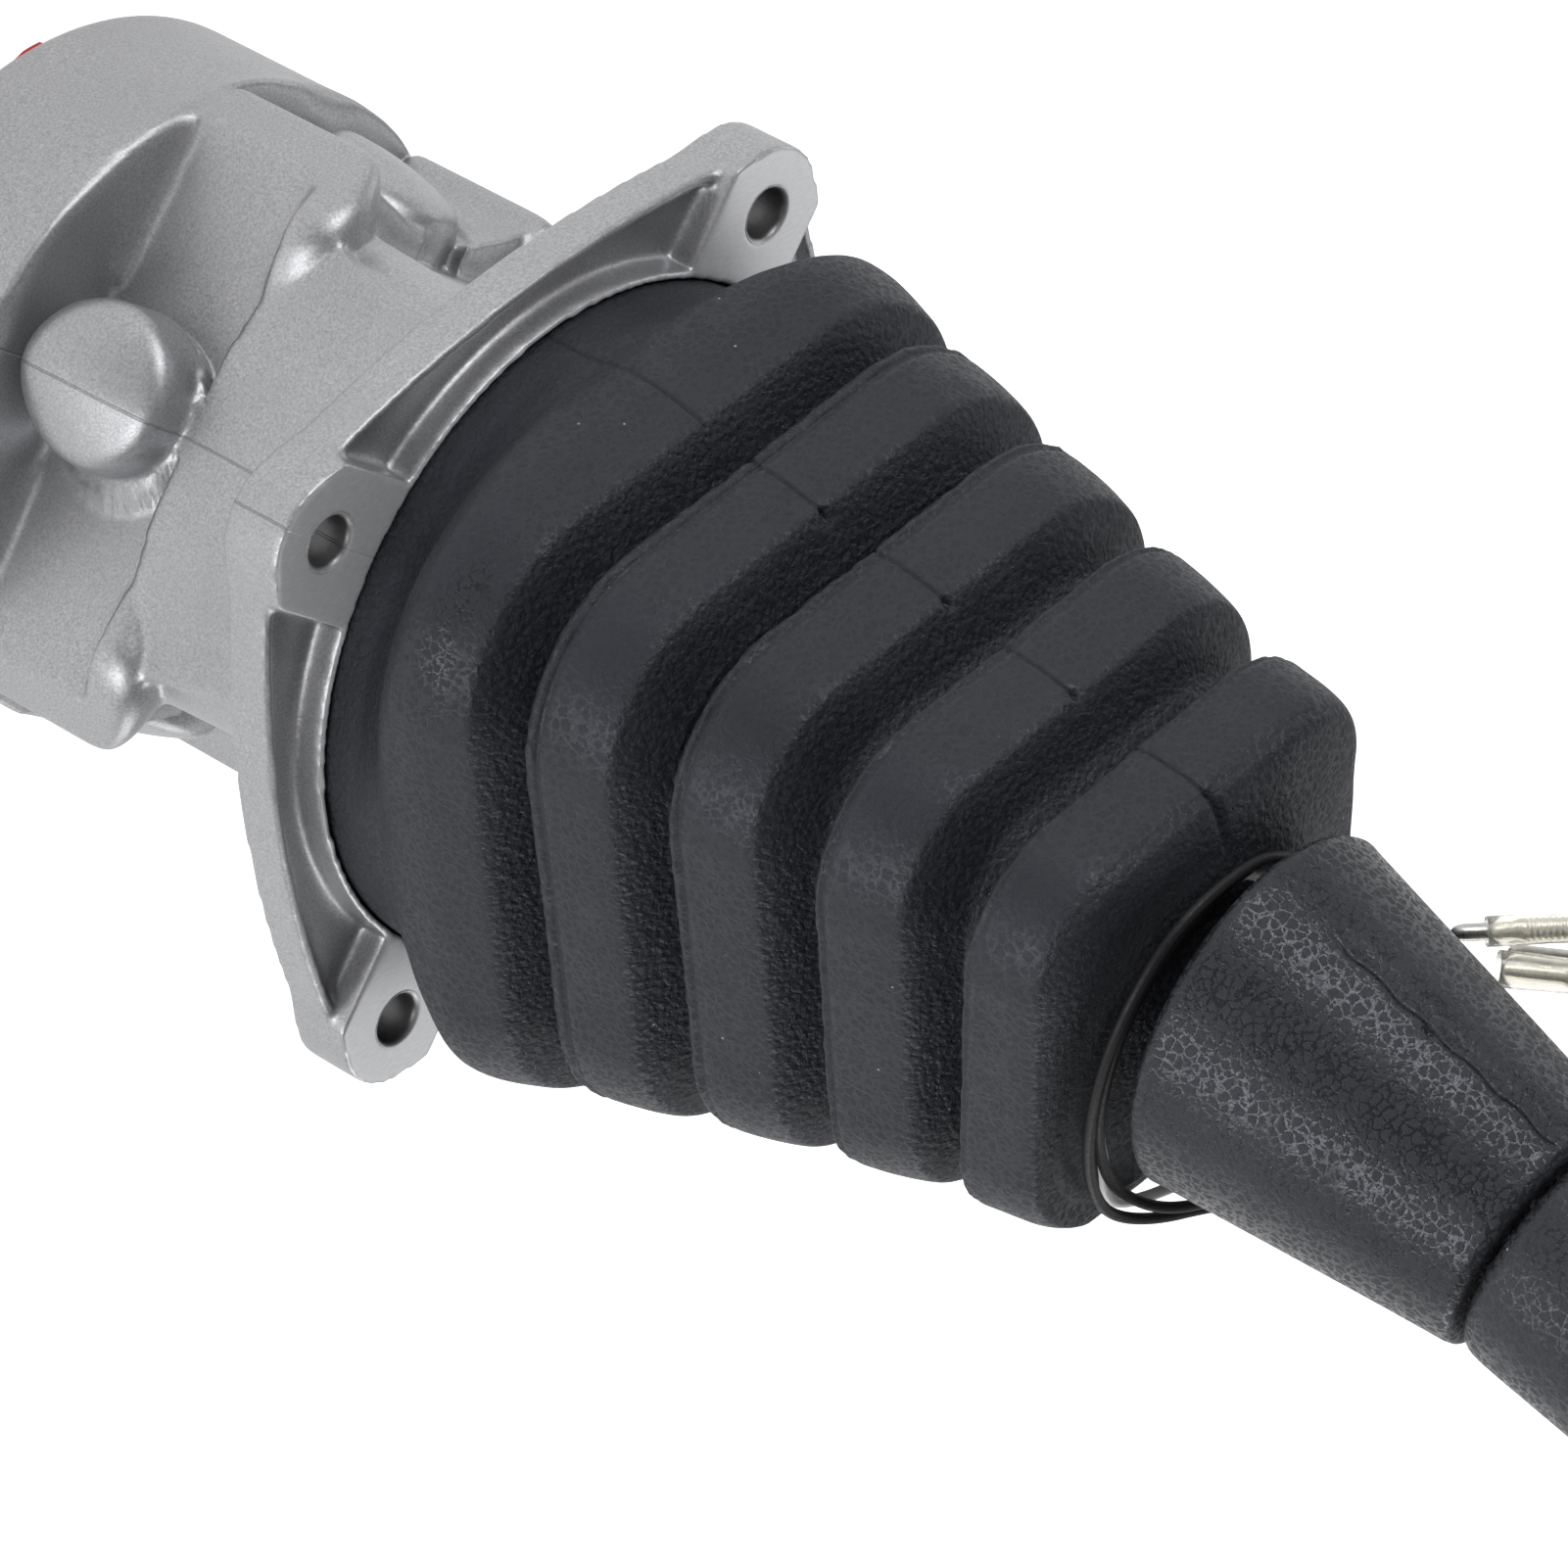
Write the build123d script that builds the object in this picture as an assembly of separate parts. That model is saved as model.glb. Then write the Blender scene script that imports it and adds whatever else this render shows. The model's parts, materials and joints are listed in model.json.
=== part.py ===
from build123d import *
import math
import os

# A hydraulic pilot control valve with a two-axis lever, a bellows and a switch grip.
# Origin: centre of the bolt flange on the plane of its four machined pads.
# +Z runs along the valve's axis towards the grip. All sizes are in millimetres.

# Flange
bolt_pitch = 80.0
bolt_edge = 9.5
bolt_hole_r = 3.5
bolt_chamfer = 0.4
flange_half = bolt_pitch / 2.0 + bolt_edge
flange_bow = 3.4
flange_bow_half = flange_half - 15.5
flange_corner_r = 10.0
flange_thick = 9.5
pad_half = 10.0
rim_drop = 2.5
rim_wall = 1.6
pocket_depth = 4.6
collar_r = flange_half - 3.1
collar_wall = 1.1
deck_depth = 3.0

# Neck, drum and their bosses
neck_low_half = flange_half - 16.5
neck_step_half = neck_low_half - 2.4
neck_high_half = neck_step_half - 1.0
neck_end_half = neck_high_half - 4.0
neck_corner_r = 13.0
neck_step_z = -48.0
drum_r = collar_r - 0.6
drum_top_z = -70.0
drum_end_z = -97.5
drum_rim_fillet = 1.2
drum_end_fillet = 3.0
lobe_half = 9.5
lobe_nose_z = -38.0
lobe_reach = drum_r - 0.8
lobe_fillet = 4.0
boss_r = 11.0
boss_z = -57.5
boss_shift = 2.0
boss_reach = drum_r - 3.8
boss_slope = 4.0
boss_fillet = 2.5

# Hydraulic bores and ports
rod_circle_r = drum_r - 23.8
plug_r = 8.5
plug_neck_r = 7.5
plug_length = 14.0
plug_neck_rise = 6.0
chamber_r = 7.6
chamber_end_z = -62.0
spool_r = 4.0
spool_bore_end_z = -84.0
port_circle_r = drum_r - 13.8
port_first_deg = 73.0
port_r = 5.9
port_depths = [14.0, 16.0, 14.0, 14.0, 15.0, 14.0]
spotface_r = 9.8
spotface_depth = 0.6
drain_r = 6.0
drain_depth = 24.0
drain_head_r = 9.0
seal_r = 6.0
seal_height = 4.0
ring_cord = 1.5
groove_z = -12.0

# Lever mechanism
pivot_z = 18.0
tilt_deg = 18.0
trunnion_r = 2.5
trunnion_play = 0.06
cross_half = 6.0
cross_height = 9.0
ear_inner = 6.3
ear_outer = 9.8
ear_half = 5.0
fork_sweep_gap = 0.8
stud_shank_r = 6.0
stud_shank_length = 16.0
stud_base_r = 9.0
yoke_thick = 4.0
lever_r = 6.0
rod_r = 4.0
rod_play = 0.05
disc_gap = 0.9
disc_rim_r = rod_circle_r + 7.0
disc_inner_r = rod_circle_r - 5.5
disc_rim_thick = 4.0
yoke_r = 10.6
disc_hub_r = 14.0
disc_hub_height = 6.0
adjusting_nut_flats = 22.0
adjusting_nut_height = 7.0
lock_nut_flats = 19.0
lock_nut_height = 5.0
coupling_flats = 17.0
coupling_height = 24.0
bend_z = 95.0
bend_r = 32.0
lean_deg = 16.0

# Plates under the boot
soft_gap = 0.3
ring_lip_r = collar_r - 4.9
ring_seat_r = ring_lip_r - 3.5
ring_inner_r = ring_seat_r - 4.0
ring_thick = 1.8
retainer_r = ring_inner_r - 0.6
retainer_thick = 4.5

screw_r = 2.5
screw_length = 12.0
screw_head_r = 4.5
screw_head = 3.2
ring_screw_r = 1.25
ring_screw_length = 6.0
ring_screw_head_r = 1.9
ring_screw_head = 1.4

# Boot
boot_wall = 2.4
boot_foot_r = collar_r - soft_gap
boot_foot_thick = 4.2
ridge_first_z = 20.0
ridge_pitch = 19.0
ridge_halves = [boot_foot_r + step for step in (0.4, -3.8, -7.9, -11.7, -15.1)]
ridge_leans = [0.0, 0.0, 1.5, 4.0, 8.0]
ridge_shifts = [0.0, 0.0, -0.3, -1.2, -2.8]
ridge_corner_share = 0.5
valley_drop = 7.0
boot_neck_r = 8.6
round_share = 0.995
crest_steps = [(-8.2, 4.4), (-7.0, 0.8), (-5.2, -0.7), (4.2, 1.05), (5.6, 1.6), (7.2, 4.2)]
boot_top_rows = [
    (101.2, 28.0, 0.5, 9.5), (102.0, 21.5, 0.7, 12.5), (104.2, 16.0, 0.9, 15.0),
    (106.8, 11.5, round_share, 16.0), (110.0, boot_neck_r, round_share, 16.0),
    (123.8, boot_neck_r, round_share, 16.0)]

# Grip, in its own frame: z runs along the leaning lever from the bend
skirt_start = 16.2
skirt_length = 45.5
skirt_wide_r = 24.35
skirt_narrow_r = 16.85
skirt_wall = 3.0
grip_top = 168.0
lever_top = 122.0
button_r = 6.5
button_travel = 2.5
button_proud = 4.0
button_height = 10.0
switch_r = 5.6
switch_height = 12.0

# Leads and their bullet terminals
lead_d = 1.5
sleeve_wall = 0.35
bullet_length = 24.0
tie_z = 98.0
tie_width = 4.0
tie_thick = 1.2
tie_reach_x = 18.6
tie_reach_y = 21.0
tie_shift = (0.6, -0.1)
bullet_run = 8.0
# bullet tip, its aim, and the sleeve's outer radius, start and length
ends = {
    "black": ((31.3, -2.2, 31.5), (0.645, 0.0, 0.764), 1.9, 9.0, 14.0),
    "black_two": ((27.6, 2.1, 28.2), (0.729, 0.09, 0.679), 1.9, 4.4, 16.0),
    "white": ((28.5, 1.4, 36.5), (0.645, 0.0, 0.764), 2.3, -0.5, 17.0)}
route_black = [
    (5.5, 9.5, 57.7), (5.5, 9.5, 45.0), (7.5, 13.0, 30.0), (8.6, 17.6, 17.0), (4.3, 22.6, 10.8),
    (-5.5, 23.9, 10.2), (-15.0, 22.6, 10.5), (-22.0, 14.6, 11.2), (-24.9, 3.6, 11.9),
    (-24.9, -8.5, 12.6), (-22.6, -19.0, 13.3), (-18.9, -27.6, 14.6), (-13.3, -30.7, 17.9),
    (-6.0, -31.0, 21.5), (2.6, -30.0, 28.0), (9.2, -25.2, 38.0), (12.3, -19.6, 51.0),
    (11.4, -16.9, 67.0), (10.1, -15.1, 85.0), (10.1, -15.1, 104.0), (12.5, -16.5, 114.0),
    (19.0, -15.5, 121.0), (28.5, -13.0, 123.0), (38.0, -10.0, 118.0), (45.5, -6.5, 107.0),
    (50.2, -4.0, 94.0), (52.3, -3.4, 80.5), (53.6, -2.6, 67.0)]
route_black_two = [
    (9.0, 6.3, 57.7), (9.0, 6.3, 45.0), (11.6, 9.8, 30.0), (12.6, 14.2, 17.3), (6.3, 20.4, 10.0),
    (-3.9, 22.0, 9.9), (-13.3, 19.8, 10.2), (-19.8, 11.5, 10.6), (-22.2, 1.2, 11.3), (-22.0, -9.5, 11.9),
    (-19.6, -18.5, 12.6), (-16.4, -26.0, 13.9), (-12.6, -28.4, 19.0), (-5.0, -28.4, 23.0),
    (5.0, -26.9, 29.5), (12.4, -22.3, 38.5), (14.8, -17.2, 51.0), (13.8, -14.7, 66.0),
    (12.3, -13.2, 83.0), (12.3, -13.2, 102.0), (14.8, -13.9, 111.4), (21.0, -13.0, 117.5),
    (29.5, -10.0, 118.5), (38.0, -6.0, 113.5), (45.0, -1.5, 103.0), (49.8, 2.5, 89.0),
    (52.6, 4.4, 75.0), (53.2, 5.0, 62.0)]
route_white = [
    (2.0, 10.6, 57.7), (2.0, 10.6, 45.0), (3.0, 13.6, 30.0), (4.6, 17.0, 16.5), (1.0, 19.2, 9.3),
    (-6.5, 19.2, 8.5), (-13.5, 16.3, 8.5), (-18.6, 10.0, 9.3), (-20.9, -0.5, 9.8), (-20.9, -12.3, 10.4),
    (-18.2, -23.4, 11.2), (-16.4, -29.4, 12.6), (-12.2, -31.0, 14.6), (-6.6, -28.2, 18.0),
    (-1.0, -26.3, 22.0),
    (5.0, -23.7, 31.0), (8.5, -20.8, 43.0), (9.0, -18.8, 57.0), (8.2, -17.2, 71.0), (7.6, -16.7, 87.0),
    (7.6, -16.7, 103.0), (10.5, -19.0, 113.0), (17.5, -19.0, 123.0), (27.5, -17.5, 127.0),
    (37.5, -15.0, 122.0), (45.5, -11.5, 111.0), (51.0, -7.0, 98.0), (55.5, -3.5, 84.5),
    (54.8, 0.6, 72.0)]

PARTS = "parts"
os.makedirs(PARTS, exist_ok=True)


def save(name, shape):
    solids = shape.solids()
    body = solids[0] if len(solids) == 1 else Compound(children=list(solids))
    export_step(body, os.path.join(PARTS, name + ".step"))


def disc(radius, low, high, x=0.0, y=0.0):
    return Pos(x, y, low) * Cylinder(
        radius, high - low, align=(Align.CENTER, Align.CENTER, Align.MIN))


def ring(outer, inner, low, high, x=0.0, y=0.0):
    return disc(outer, low, high, x, y) - disc(inner, low - 1.0, high + 1.0, x, y)


def around(count, shape, first=0.0):
    return [Rot(0, 0, first + 360.0 / count * k) * shape for k in range(count)]


def hexagon(flats, low, high):
    outline = RegularPolygon(flats / 2.0, 6, major_radius=False)
    prism = extrude(Pos(0, 0, low) * outline, high - low)
    cone_r = flats / 2.0 / math.cos(math.radians(30.0)) - 0.6
    return prism & chamfered_disc(cone_r + 0.6, low, high, 0.9)


def chamfered_disc(radius, low, high, cut):
    body = disc(radius, low, high)
    return chamfer(body.edges().filter_by(GeomType.CIRCLE), cut)


def revolved(points):
    profile = make_face(Polyline(*[(r, 0.0, z) for r, z in points], close=True))
    return revolve(profile, Axis.Z)


def spring(mean_r, wire, low, high, turns, x=0.0, y=0.0):
    # coil of square wire whose end faces lie on the two seats
    height = high - low - wire
    path = Helix(height / turns, height, mean_r)
    start = Plane(origin=path @ 0, x_dir=(1, 0, 0), z_dir=path % 0)
    coil = sweep(start * Rectangle(wire, wire), path=path, is_frenet=True)
    return Pos(x, y, low + wire / 2.0) * coil


def retainer_screw_places(shape):
    return around(2, Pos(retainer_r - screw_head_r - 2.0, 0, 0) * shape, 45.0)


def ring_screw_places(shape):
    return around(4, Pos((ring_inner_r + ring_seat_r) / 2.0, 0, 0) * shape, 22.5)


# Valve body

def bowed_square(inset):
    half = flange_half - inset
    bow = flange_half + flange_bow - inset
    radius = max(flange_corner_r - inset, 1.0)
    corner = half - radius
    reach = corner + radius / math.sqrt(2.0)
    edges = []
    for k in range(4):
        turn = Rot(0, 0, 90.0 * k)
        edges.append(turn * ThreePointArc((half, -flange_bow_half), (bow, 0), (half, flange_bow_half)))
        edges.append(turn * Line((half, flange_bow_half), (half, corner)))
        edges.append(turn * ThreePointArc((half, corner), (reach, reach), (corner, half)))
        edges.append(turn * Line((corner, half), (flange_bow_half, half)))
    return make_face(edges)


def diagonal_bands(half_width, low, high):
    span = 4.0 * flange_half
    band = Pos(0, 0, low) * Box(
        span, 2.0 * half_width, high - low, align=(Align.CENTER, Align.CENTER, Align.MIN))
    return Rot(0, 0, 45) * band + Rot(0, 0, 135) * band


def flange():
    plate = extrude(Pos(0, 0, -flange_thick) * bowed_square(0.0), flange_thick)
    rim_cut = extrude(Pos(0, 0, -rim_drop) * bowed_square(-2.0), rim_drop + 1.0)
    rim_cut -= disc(collar_r + collar_wall, -rim_drop - 1.0, 2.0)
    rim_cut -= diagonal_bands(pad_half, -rim_drop - 1.0, 2.0)
    pocket = extrude(Pos(0, 0, -pocket_depth) * bowed_square(rim_wall), pocket_depth)
    pocket -= disc(collar_r + collar_wall, -pocket_depth - 1.0, 2.0)
    pocket -= diagonal_bands(pad_half, -pocket_depth - 1.0, 2.0)
    plate = plate - rim_cut - pocket - disc(collar_r, -deck_depth, 1.0)
    hole = Pos(bolt_pitch / 2.0, bolt_pitch / 2.0, 0)
    cut = disc(bolt_hole_r, -flange_thick - 1.0, 1.0)
    mouth = Pos(0, 0, -bolt_chamfer) * Cone(
        bolt_hole_r, bolt_hole_r + bolt_chamfer, bolt_chamfer,
        align=(Align.CENTER, Align.CENTER, Align.MIN))
    for tool in around(4, hole * (cut + mouth)):
        plate = plate - tool
    return plate


def turned_square(half, corner, z):
    return Pos(0, 0, z) * Rot(0, 0, 45) * RectangleRounded(2.0 * half, 2.0 * half, corner)


def neck():
    low = loft([turned_square(neck_step_half, neck_corner_r, neck_step_z),
                turned_square(neck_low_half, neck_corner_r, -flange_thick)], ruled=True)
    high = loft([turned_square(neck_end_half, neck_corner_r, drum_top_z),
                 turned_square(neck_high_half, neck_corner_r, neck_step_z)], ruled=True)
    return low + high


def drum():
    body = disc(drum_r, drum_end_z, drum_top_z)
    circles = body.edges().filter_by(GeomType.CIRCLE).sort_by(Axis.Z)
    body = fillet(circles[-1], drum_rim_fillet)
    circles = body.edges().filter_by(GeomType.CIRCLE).sort_by(Axis.Z)
    return fillet(circles[0], drum_end_fillet)


def lobe():
    # round-nosed column over one spool bore, pointing along +X
    centre_z = lobe_nose_z - lobe_half
    deep = drum_top_z - 2.0
    nose = Pos(0, centre_z) * Circle(lobe_half)
    stem = Pos(0, (centre_z + deep) / 2.0) * Rectangle(2.0 * lobe_half, centre_z - deep)
    face = Plane.YZ * (nose + stem)
    body = extrude(Pos(rod_circle_r - 4.0, 0, 0) * face, lobe_reach - rod_circle_r + 4.0)
    outer = body.faces().sort_by(Axis.X)[-1]
    return fillet(outer.edges(), lobe_fillet)


def boss():
    # round radial boss between two columns, pointing along +X
    blank = Pos(neck_end_half - 6.0, boss_shift, boss_z) * Rot(0, 90, 0) * Cylinder(
        boss_r, boss_reach, align=(Align.CENTER, Align.CENTER, Align.MIN))
    envelope = Pos(0, 0, drum_top_z) * Cone(
        boss_reach + boss_slope / 2.0, boss_reach - boss_slope, 2.0 * boss_r + 6.0,
        align=(Align.CENTER, Align.CENTER, Align.MIN))
    body = blank & envelope
    outer = body.faces().sort_by(Axis.X)[-1]
    return fillet(outer.edges(), boss_fillet)


def valve_bores():
    bore = disc(plug_r, -deck_depth - plug_length, 1.0)
    bore += disc(chamber_r, chamber_end_z, 0.0)
    bore += disc(spool_r, spool_bore_end_z, 0.0)
    cuts = around(4, Pos(rod_circle_r, 0, 0) * bore)
    for k, depth in enumerate(port_depths):
        port = disc(port_r, drum_end_z - 1.0, drum_end_z + depth)
        port += disc(spotface_r, drum_end_z - 1.0, drum_end_z + spotface_depth)
        turn = port_first_deg + 360.0 / len(port_depths) * k
        cuts.append(Rot(0, 0, turn) * Pos(port_circle_r, 0, 0) * port)
    cuts.append(disc(stud_shank_r, -deck_depth - stud_shank_length, 1.0))
    cuts.append(disc(drain_r, drum_end_z - 1.0, drum_end_z + drain_depth))
    cuts += retainer_screw_places(disc(screw_r, -deck_depth - screw_length, 1.0))
    cuts += ring_screw_places(disc(ring_screw_r, -deck_depth - ring_screw_length, 1.0))
    return cuts


def valve_body():
    body = flange() + neck() + drum()
    for piece in around(4, lobe()):
        body = body + piece
    for piece in around(4, boss(), 45.0):
        body = body + piece
    for cut in valve_bores():
        body = body - cut
    return body


# Root pieces round the bores

def port_cap():
    # plastic transport cap: wide rim, plug and a domed head with a hexagon
    rim_r = 11.0
    rim = disc(rim_r, drum_end_z - 2.2, drum_end_z)
    stem = ring(port_r - 0.3, port_r - 1.7, drum_end_z, drum_end_z + 9.0)
    head = hexagon(14.0, drum_end_z - 7.0, drum_end_z - 2.2)
    rim = fillet(rim.edges().filter_by(GeomType.CIRCLE).sort_by(Axis.Z)[0], 0.8)
    place = Rot(0, 0, port_first_deg) * Pos(port_circle_r, 0, 0)
    return place * (rim + stem + head)


def centre_plug():
    head = disc(drain_head_r, drum_end_z - 5.0, drum_end_z - 1.0)
    head = chamfer(head.edges().filter_by(GeomType.CIRCLE).sort_by(Axis.Z)[0], 0.8)
    stem = disc(drain_r, drum_end_z - 1.0, drum_end_z + 12.0)
    socket = extrude(Pos(0, 0, drum_end_z - 5.0) * RegularPolygon(3.0, 6, major_radius=False), 3.5)
    return head + stem - socket


def centre_seal():
    return ring(drain_head_r, drain_r, drum_end_z - 1.0, drum_end_z)


def guide_plug():
    top = -deck_depth + plug_neck_rise
    body = disc(plug_r, -deck_depth - plug_length, -deck_depth)
    body += disc(plug_neck_r, -deck_depth, top)
    body -= disc(rod_r + rod_play, -deck_depth - plug_length - 1.0, top + 1.0)
    body -= disc(seal_r, top - seal_height, top + 1.0)
    groove = ring(plug_r + 1.0, plug_r - ring_cord, groove_z, groove_z + 1.4 * ring_cord)
    return Pos(rod_circle_r, 0, 0) * (body - groove)


def plug_o_ring():
    minor = ring_cord / 2.0
    return Pos(rod_circle_r, 0, groove_z + 0.7 * ring_cord) * Torus(plug_r - minor, minor - 0.02)


def rod_seal():
    top = -deck_depth + plug_neck_rise
    low = top - seal_height
    lip = rod_r + 0.06
    points = [(lip, low + 1.0), (lip + 1.0, low), (seal_r, low), (seal_r, top - 0.3),
              (lip + 0.9, top - 0.3), (lip, top - 0.9)]
    return Pos(rod_circle_r, 0, 0) * revolved(points)


def retainer_plate():
    low = -deck_depth
    high = low + retainer_thick
    plate = chamfered_top(disc(retainer_r, low, high), 0.5)
    plate -= disc(stud_base_r + 0.2, low - 1.0, high + 1.0)
    for tool in around(4, disc(plug_neck_r + 0.2, low - 1.0, high + 1.0, rod_circle_r)):
        plate -= tool
    hole = disc(screw_r + 0.25, low - 1.0, high + 1.0) + disc(
        screw_head_r + 0.3, high - screw_head - 0.2, high + 1.0)
    for tool in retainer_screw_places(hole):
        plate -= tool
    return plate


def chamfered_top(body, cut):
    return chamfer(body.edges().filter_by(GeomType.CIRCLE).sort_by(Axis.Z)[-1], cut)


def retainer_screw():
    seat = -deck_depth + retainer_thick - screw_head - 0.2
    head = chamfered_top(disc(screw_head_r, seat, seat + screw_head), 0.4)
    socket = extrude(Pos(0, 0, seat + screw_head - 2.0) * RegularPolygon(2.0, 6, major_radius=False), 3.0)
    return head + disc(screw_r, -deck_depth - screw_length + 1.0, seat) - socket


def boot_ring():
    low = -deck_depth
    high = low + soft_gap + boot_foot_thick + soft_gap + ring_thick
    body = ring(ring_seat_r, ring_inner_r, low, high)
    body += ring(ring_lip_r, ring_inner_r, high - ring_thick, high)
    for tool in ring_screw_places(disc(ring_screw_r + 0.1, low - 1.0, high + 1.0)):
        body -= tool
    return body


def ring_screw():
    seat = -deck_depth + 2.0 * soft_gap + boot_foot_thick + ring_thick
    head = chamfered_top(disc(ring_screw_head_r, seat, seat + ring_screw_head), 0.4)
    return head + disc(ring_screw_r, -deck_depth - ring_screw_length + 1.0, seat)


# Universal joint: the fixed fork holds the cross on X, the moving fork holds it on Y

def fork_ears(low, high, inner, outer):
    # two ears on X whose free ends are rounded about the pivot
    ear = Pos(0, 0, (low + high) / 2.0) * Box(2.0 * outer, 2.0 * ear_half, high - low)
    slot = Pos(0, 0, pivot_z) * Box(2.0 * inner, 4.0 * ear_half, 6.0 * ear_outer)
    rounding = Pos(0, 0, pivot_z) * Rot(0, 90, 0) * Cylinder(ear_half, 4.0 * outer)
    bore = Pos(0, 0, pivot_z) * Rot(0, 90, 0) * Cylinder(trunnion_r + trunnion_play, 4.0 * outer)
    return (ear + (rounding & Pos(0, 0, pivot_z) * Box(2.0 * outer, 20, 20))) - slot - bore


def swing_r():
    return math.hypot(ear_outer, ear_half) + fork_sweep_gap


def joint_stud():
    base_top = pivot_z - swing_r()
    body = disc(stud_base_r, -deck_depth, base_top)
    body += disc(stud_shank_r, -deck_depth - stud_shank_length + 1.0, -deck_depth)
    return body + fork_ears(base_top, pivot_z, ear_inner, ear_outer)


def joint_cross():
    block = Pos(0, 0, pivot_z) * Box(2.0 * cross_half, 2.0 * cross_half, cross_height)
    block = chamfer(block.edges().filter_by(Axis.Z), 1.0)
    pin = Cylinder(trunnion_r, 2.0 * ear_outer - 0.6)
    pins = Rot(0, 90, 0) * pin + Rot(90, 0, 0) * pin
    return block + Pos(0, 0, pivot_z) * pins


def yoke_top_z():
    return pivot_z + swing_r() + yoke_thick


def hub_top_z():
    return yoke_top_z() + disc_hub_height


def lever_foot_z():
    return coupling_low_z() + coupling_height / 2.0


def coupling_low_z():
    return hub_top_z() + adjusting_nut_height + lock_nut_height


def joint_fork():
    low = pivot_z + swing_r()
    ears = Rot(0, 0, 90) * fork_ears(pivot_z, low, ear_inner, ear_outer)
    plate = disc(yoke_r, low, yoke_top_z())
    return ears + plate + disc(stud_shank_r, yoke_top_z(), lever_foot_z())


def tilt_disc():
    # dished plate: flat rim on the rods, conical web, hub on the fork
    base = pivot_z
    rim_top = base + disc_rim_thick
    hub = yoke_top_z()
    points = [
        (disc_inner_r, base), (disc_rim_r, base), (disc_rim_r, rim_top),
        (disc_inner_r + 4.0, rim_top + 2.0), (disc_hub_r, hub + disc_hub_height - 1.5),
        (disc_hub_r - 1.5, hub + disc_hub_height), (stud_shank_r, hub + disc_hub_height),
        (stud_shank_r, hub), (yoke_r + 0.4, hub), (disc_inner_r, base + 2.0)]
    return revolved(points)


def plain_nut(flats, low, high):
    return hexagon(flats, low, high) - disc(stud_shank_r, low - 1.0, high + 1.0)


def push_rod():
    ball_z = pivot_z - disc_gap - rod_r
    foot_z = rod_foot_z()
    body = disc(rod_r, foot_z, ball_z) + Pos(0, 0, ball_z) * Sphere(rod_r)
    body += chamfered_top(disc(6.0, foot_z, foot_z + 3.0), 0.8)
    return Pos(rod_circle_r, 0, 0) * (body - disc(2.2, foot_z - 1.0, foot_z + 16.0))


def rod_foot_z():
    return -deck_depth - plug_length - rod_travel() - 4.0


def rod_travel():
    return rod_circle_r * math.tan(math.radians(tilt_deg))


def spring_seat():
    high = rod_foot_z()
    body = disc(chamber_r - 0.3, high - 2.5, high) + disc(4.4, high - 7.0, high - 2.5)
    return Pos(rod_circle_r, 0, 0) * (body - disc(2.2, high - 8.0, high + 1.0))


def spool():
    # metering spool: two lands, a relief groove and a guide pin
    low = spool_bore_end_z + 2.0
    land = spool_r - 0.015
    points = [
        (0.0, low), (land, low), (land, low + 6.0), (2.8, low + 7.0), (2.8, low + 11.0),
        (land, low + 12.0), (land, chamber_end_z + 1.5), (1.8, chamber_end_z + 1.5),
        (1.8, rod_foot_z() + 6.0), (0.0, rod_foot_z() + 6.0)]
    return Pos(rod_circle_r, 0, 0) * revolved(points)


def return_spring():
    return spring(6.0, 1.5, chamber_end_z, rod_foot_z() - 2.5, 6.0, rod_circle_r)


def metering_spring():
    return spring(3.1, 0.9, chamber_end_z + 1.5, rod_foot_z() - 7.0, 6.0, rod_circle_r)


# Lever and grip

def grip_frame(shape):
    return Pos(0, 0, bend_z) * Rot(lean_deg, 0, 0) * shape


def grip_point(x, y, z):
    spot = grip_frame(Location((x, y, z))).position
    return (spot.X, spot.Y, spot.Z)


def lever():
    path = FilletPolyline(
        (0, 0, lever_foot_z()), (0, 0, bend_z), grip_point(0, 0, lever_top), radius=bend_r)
    return sweep(Plane(origin=(0, 0, lever_foot_z())) * Circle(lever_r), path=path)


def grip_skirt():
    start = skirt_start
    end = skirt_start + skirt_length
    inner_wide = skirt_wide_r - skirt_wall
    inner_narrow = skirt_narrow_r - skirt_wall
    shell = revolved([
        (inner_wide, start), (skirt_wide_r - 2.2, start), (skirt_wide_r - 0.7, start + 0.7),
        (skirt_wide_r, start + 2.4), (skirt_narrow_r + 0.3, end - 1.4), (skirt_narrow_r - 1.0, end),
        (lever_r, end), (lever_r, end - 4.0), (inner_narrow, end - 4.0)])
    return grip_frame(shell)


def grip_sections():
    # height, half width across X, half width across Y, shift along Y
    return [
        (62.0, 15.2, 15.2, 0.0), (64.5, 16.3, 16.3, 0.0), (80.0, 16.6, 17.2, 0.2),
        (100.0, 16.2, 18.4, 0.8), (118.0, 16.0, 18.2, 1.0), (134.0, 16.8, 18.4, 0.4),
        (148.0, 18.6, 20.5, -1.2), (158.0, 19.0, 21.0, -1.8), (165.0, 16.8, 18.6, -1.8),
        (grip_top, 12.0, 13.4, -1.6)]


def grip_body():
    rings = [Pos(0, y, z) * Ellipse(rx, ry) for z, rx, ry, y in grip_sections()]
    body = loft(rings)
    body -= disc(lever_r, 60.0, lever_top)
    body -= disc(button_r + 0.3, switch_low_z(), grip_top + 1.0)
    return grip_frame(body)


def switch_low_z():
    return grip_top + button_proud - button_height - button_travel - 3.0 - switch_height


def button():
    high = grip_top + button_proud
    cap = disc(button_r, high - button_height, high)
    cap = fillet(cap.edges().filter_by(GeomType.CIRCLE).sort_by(Axis.Z)[-1], 1.5)
    return grip_frame(cap - disc(4.8, high - button_height - 1.0, high - 3.0))


def button_switch():
    low = switch_low_z()
    body = disc(switch_r, low, low + switch_height)
    stem = disc(1.6, low + switch_height, low + switch_height + 3.0)
    return grip_frame(body + stem)


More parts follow.
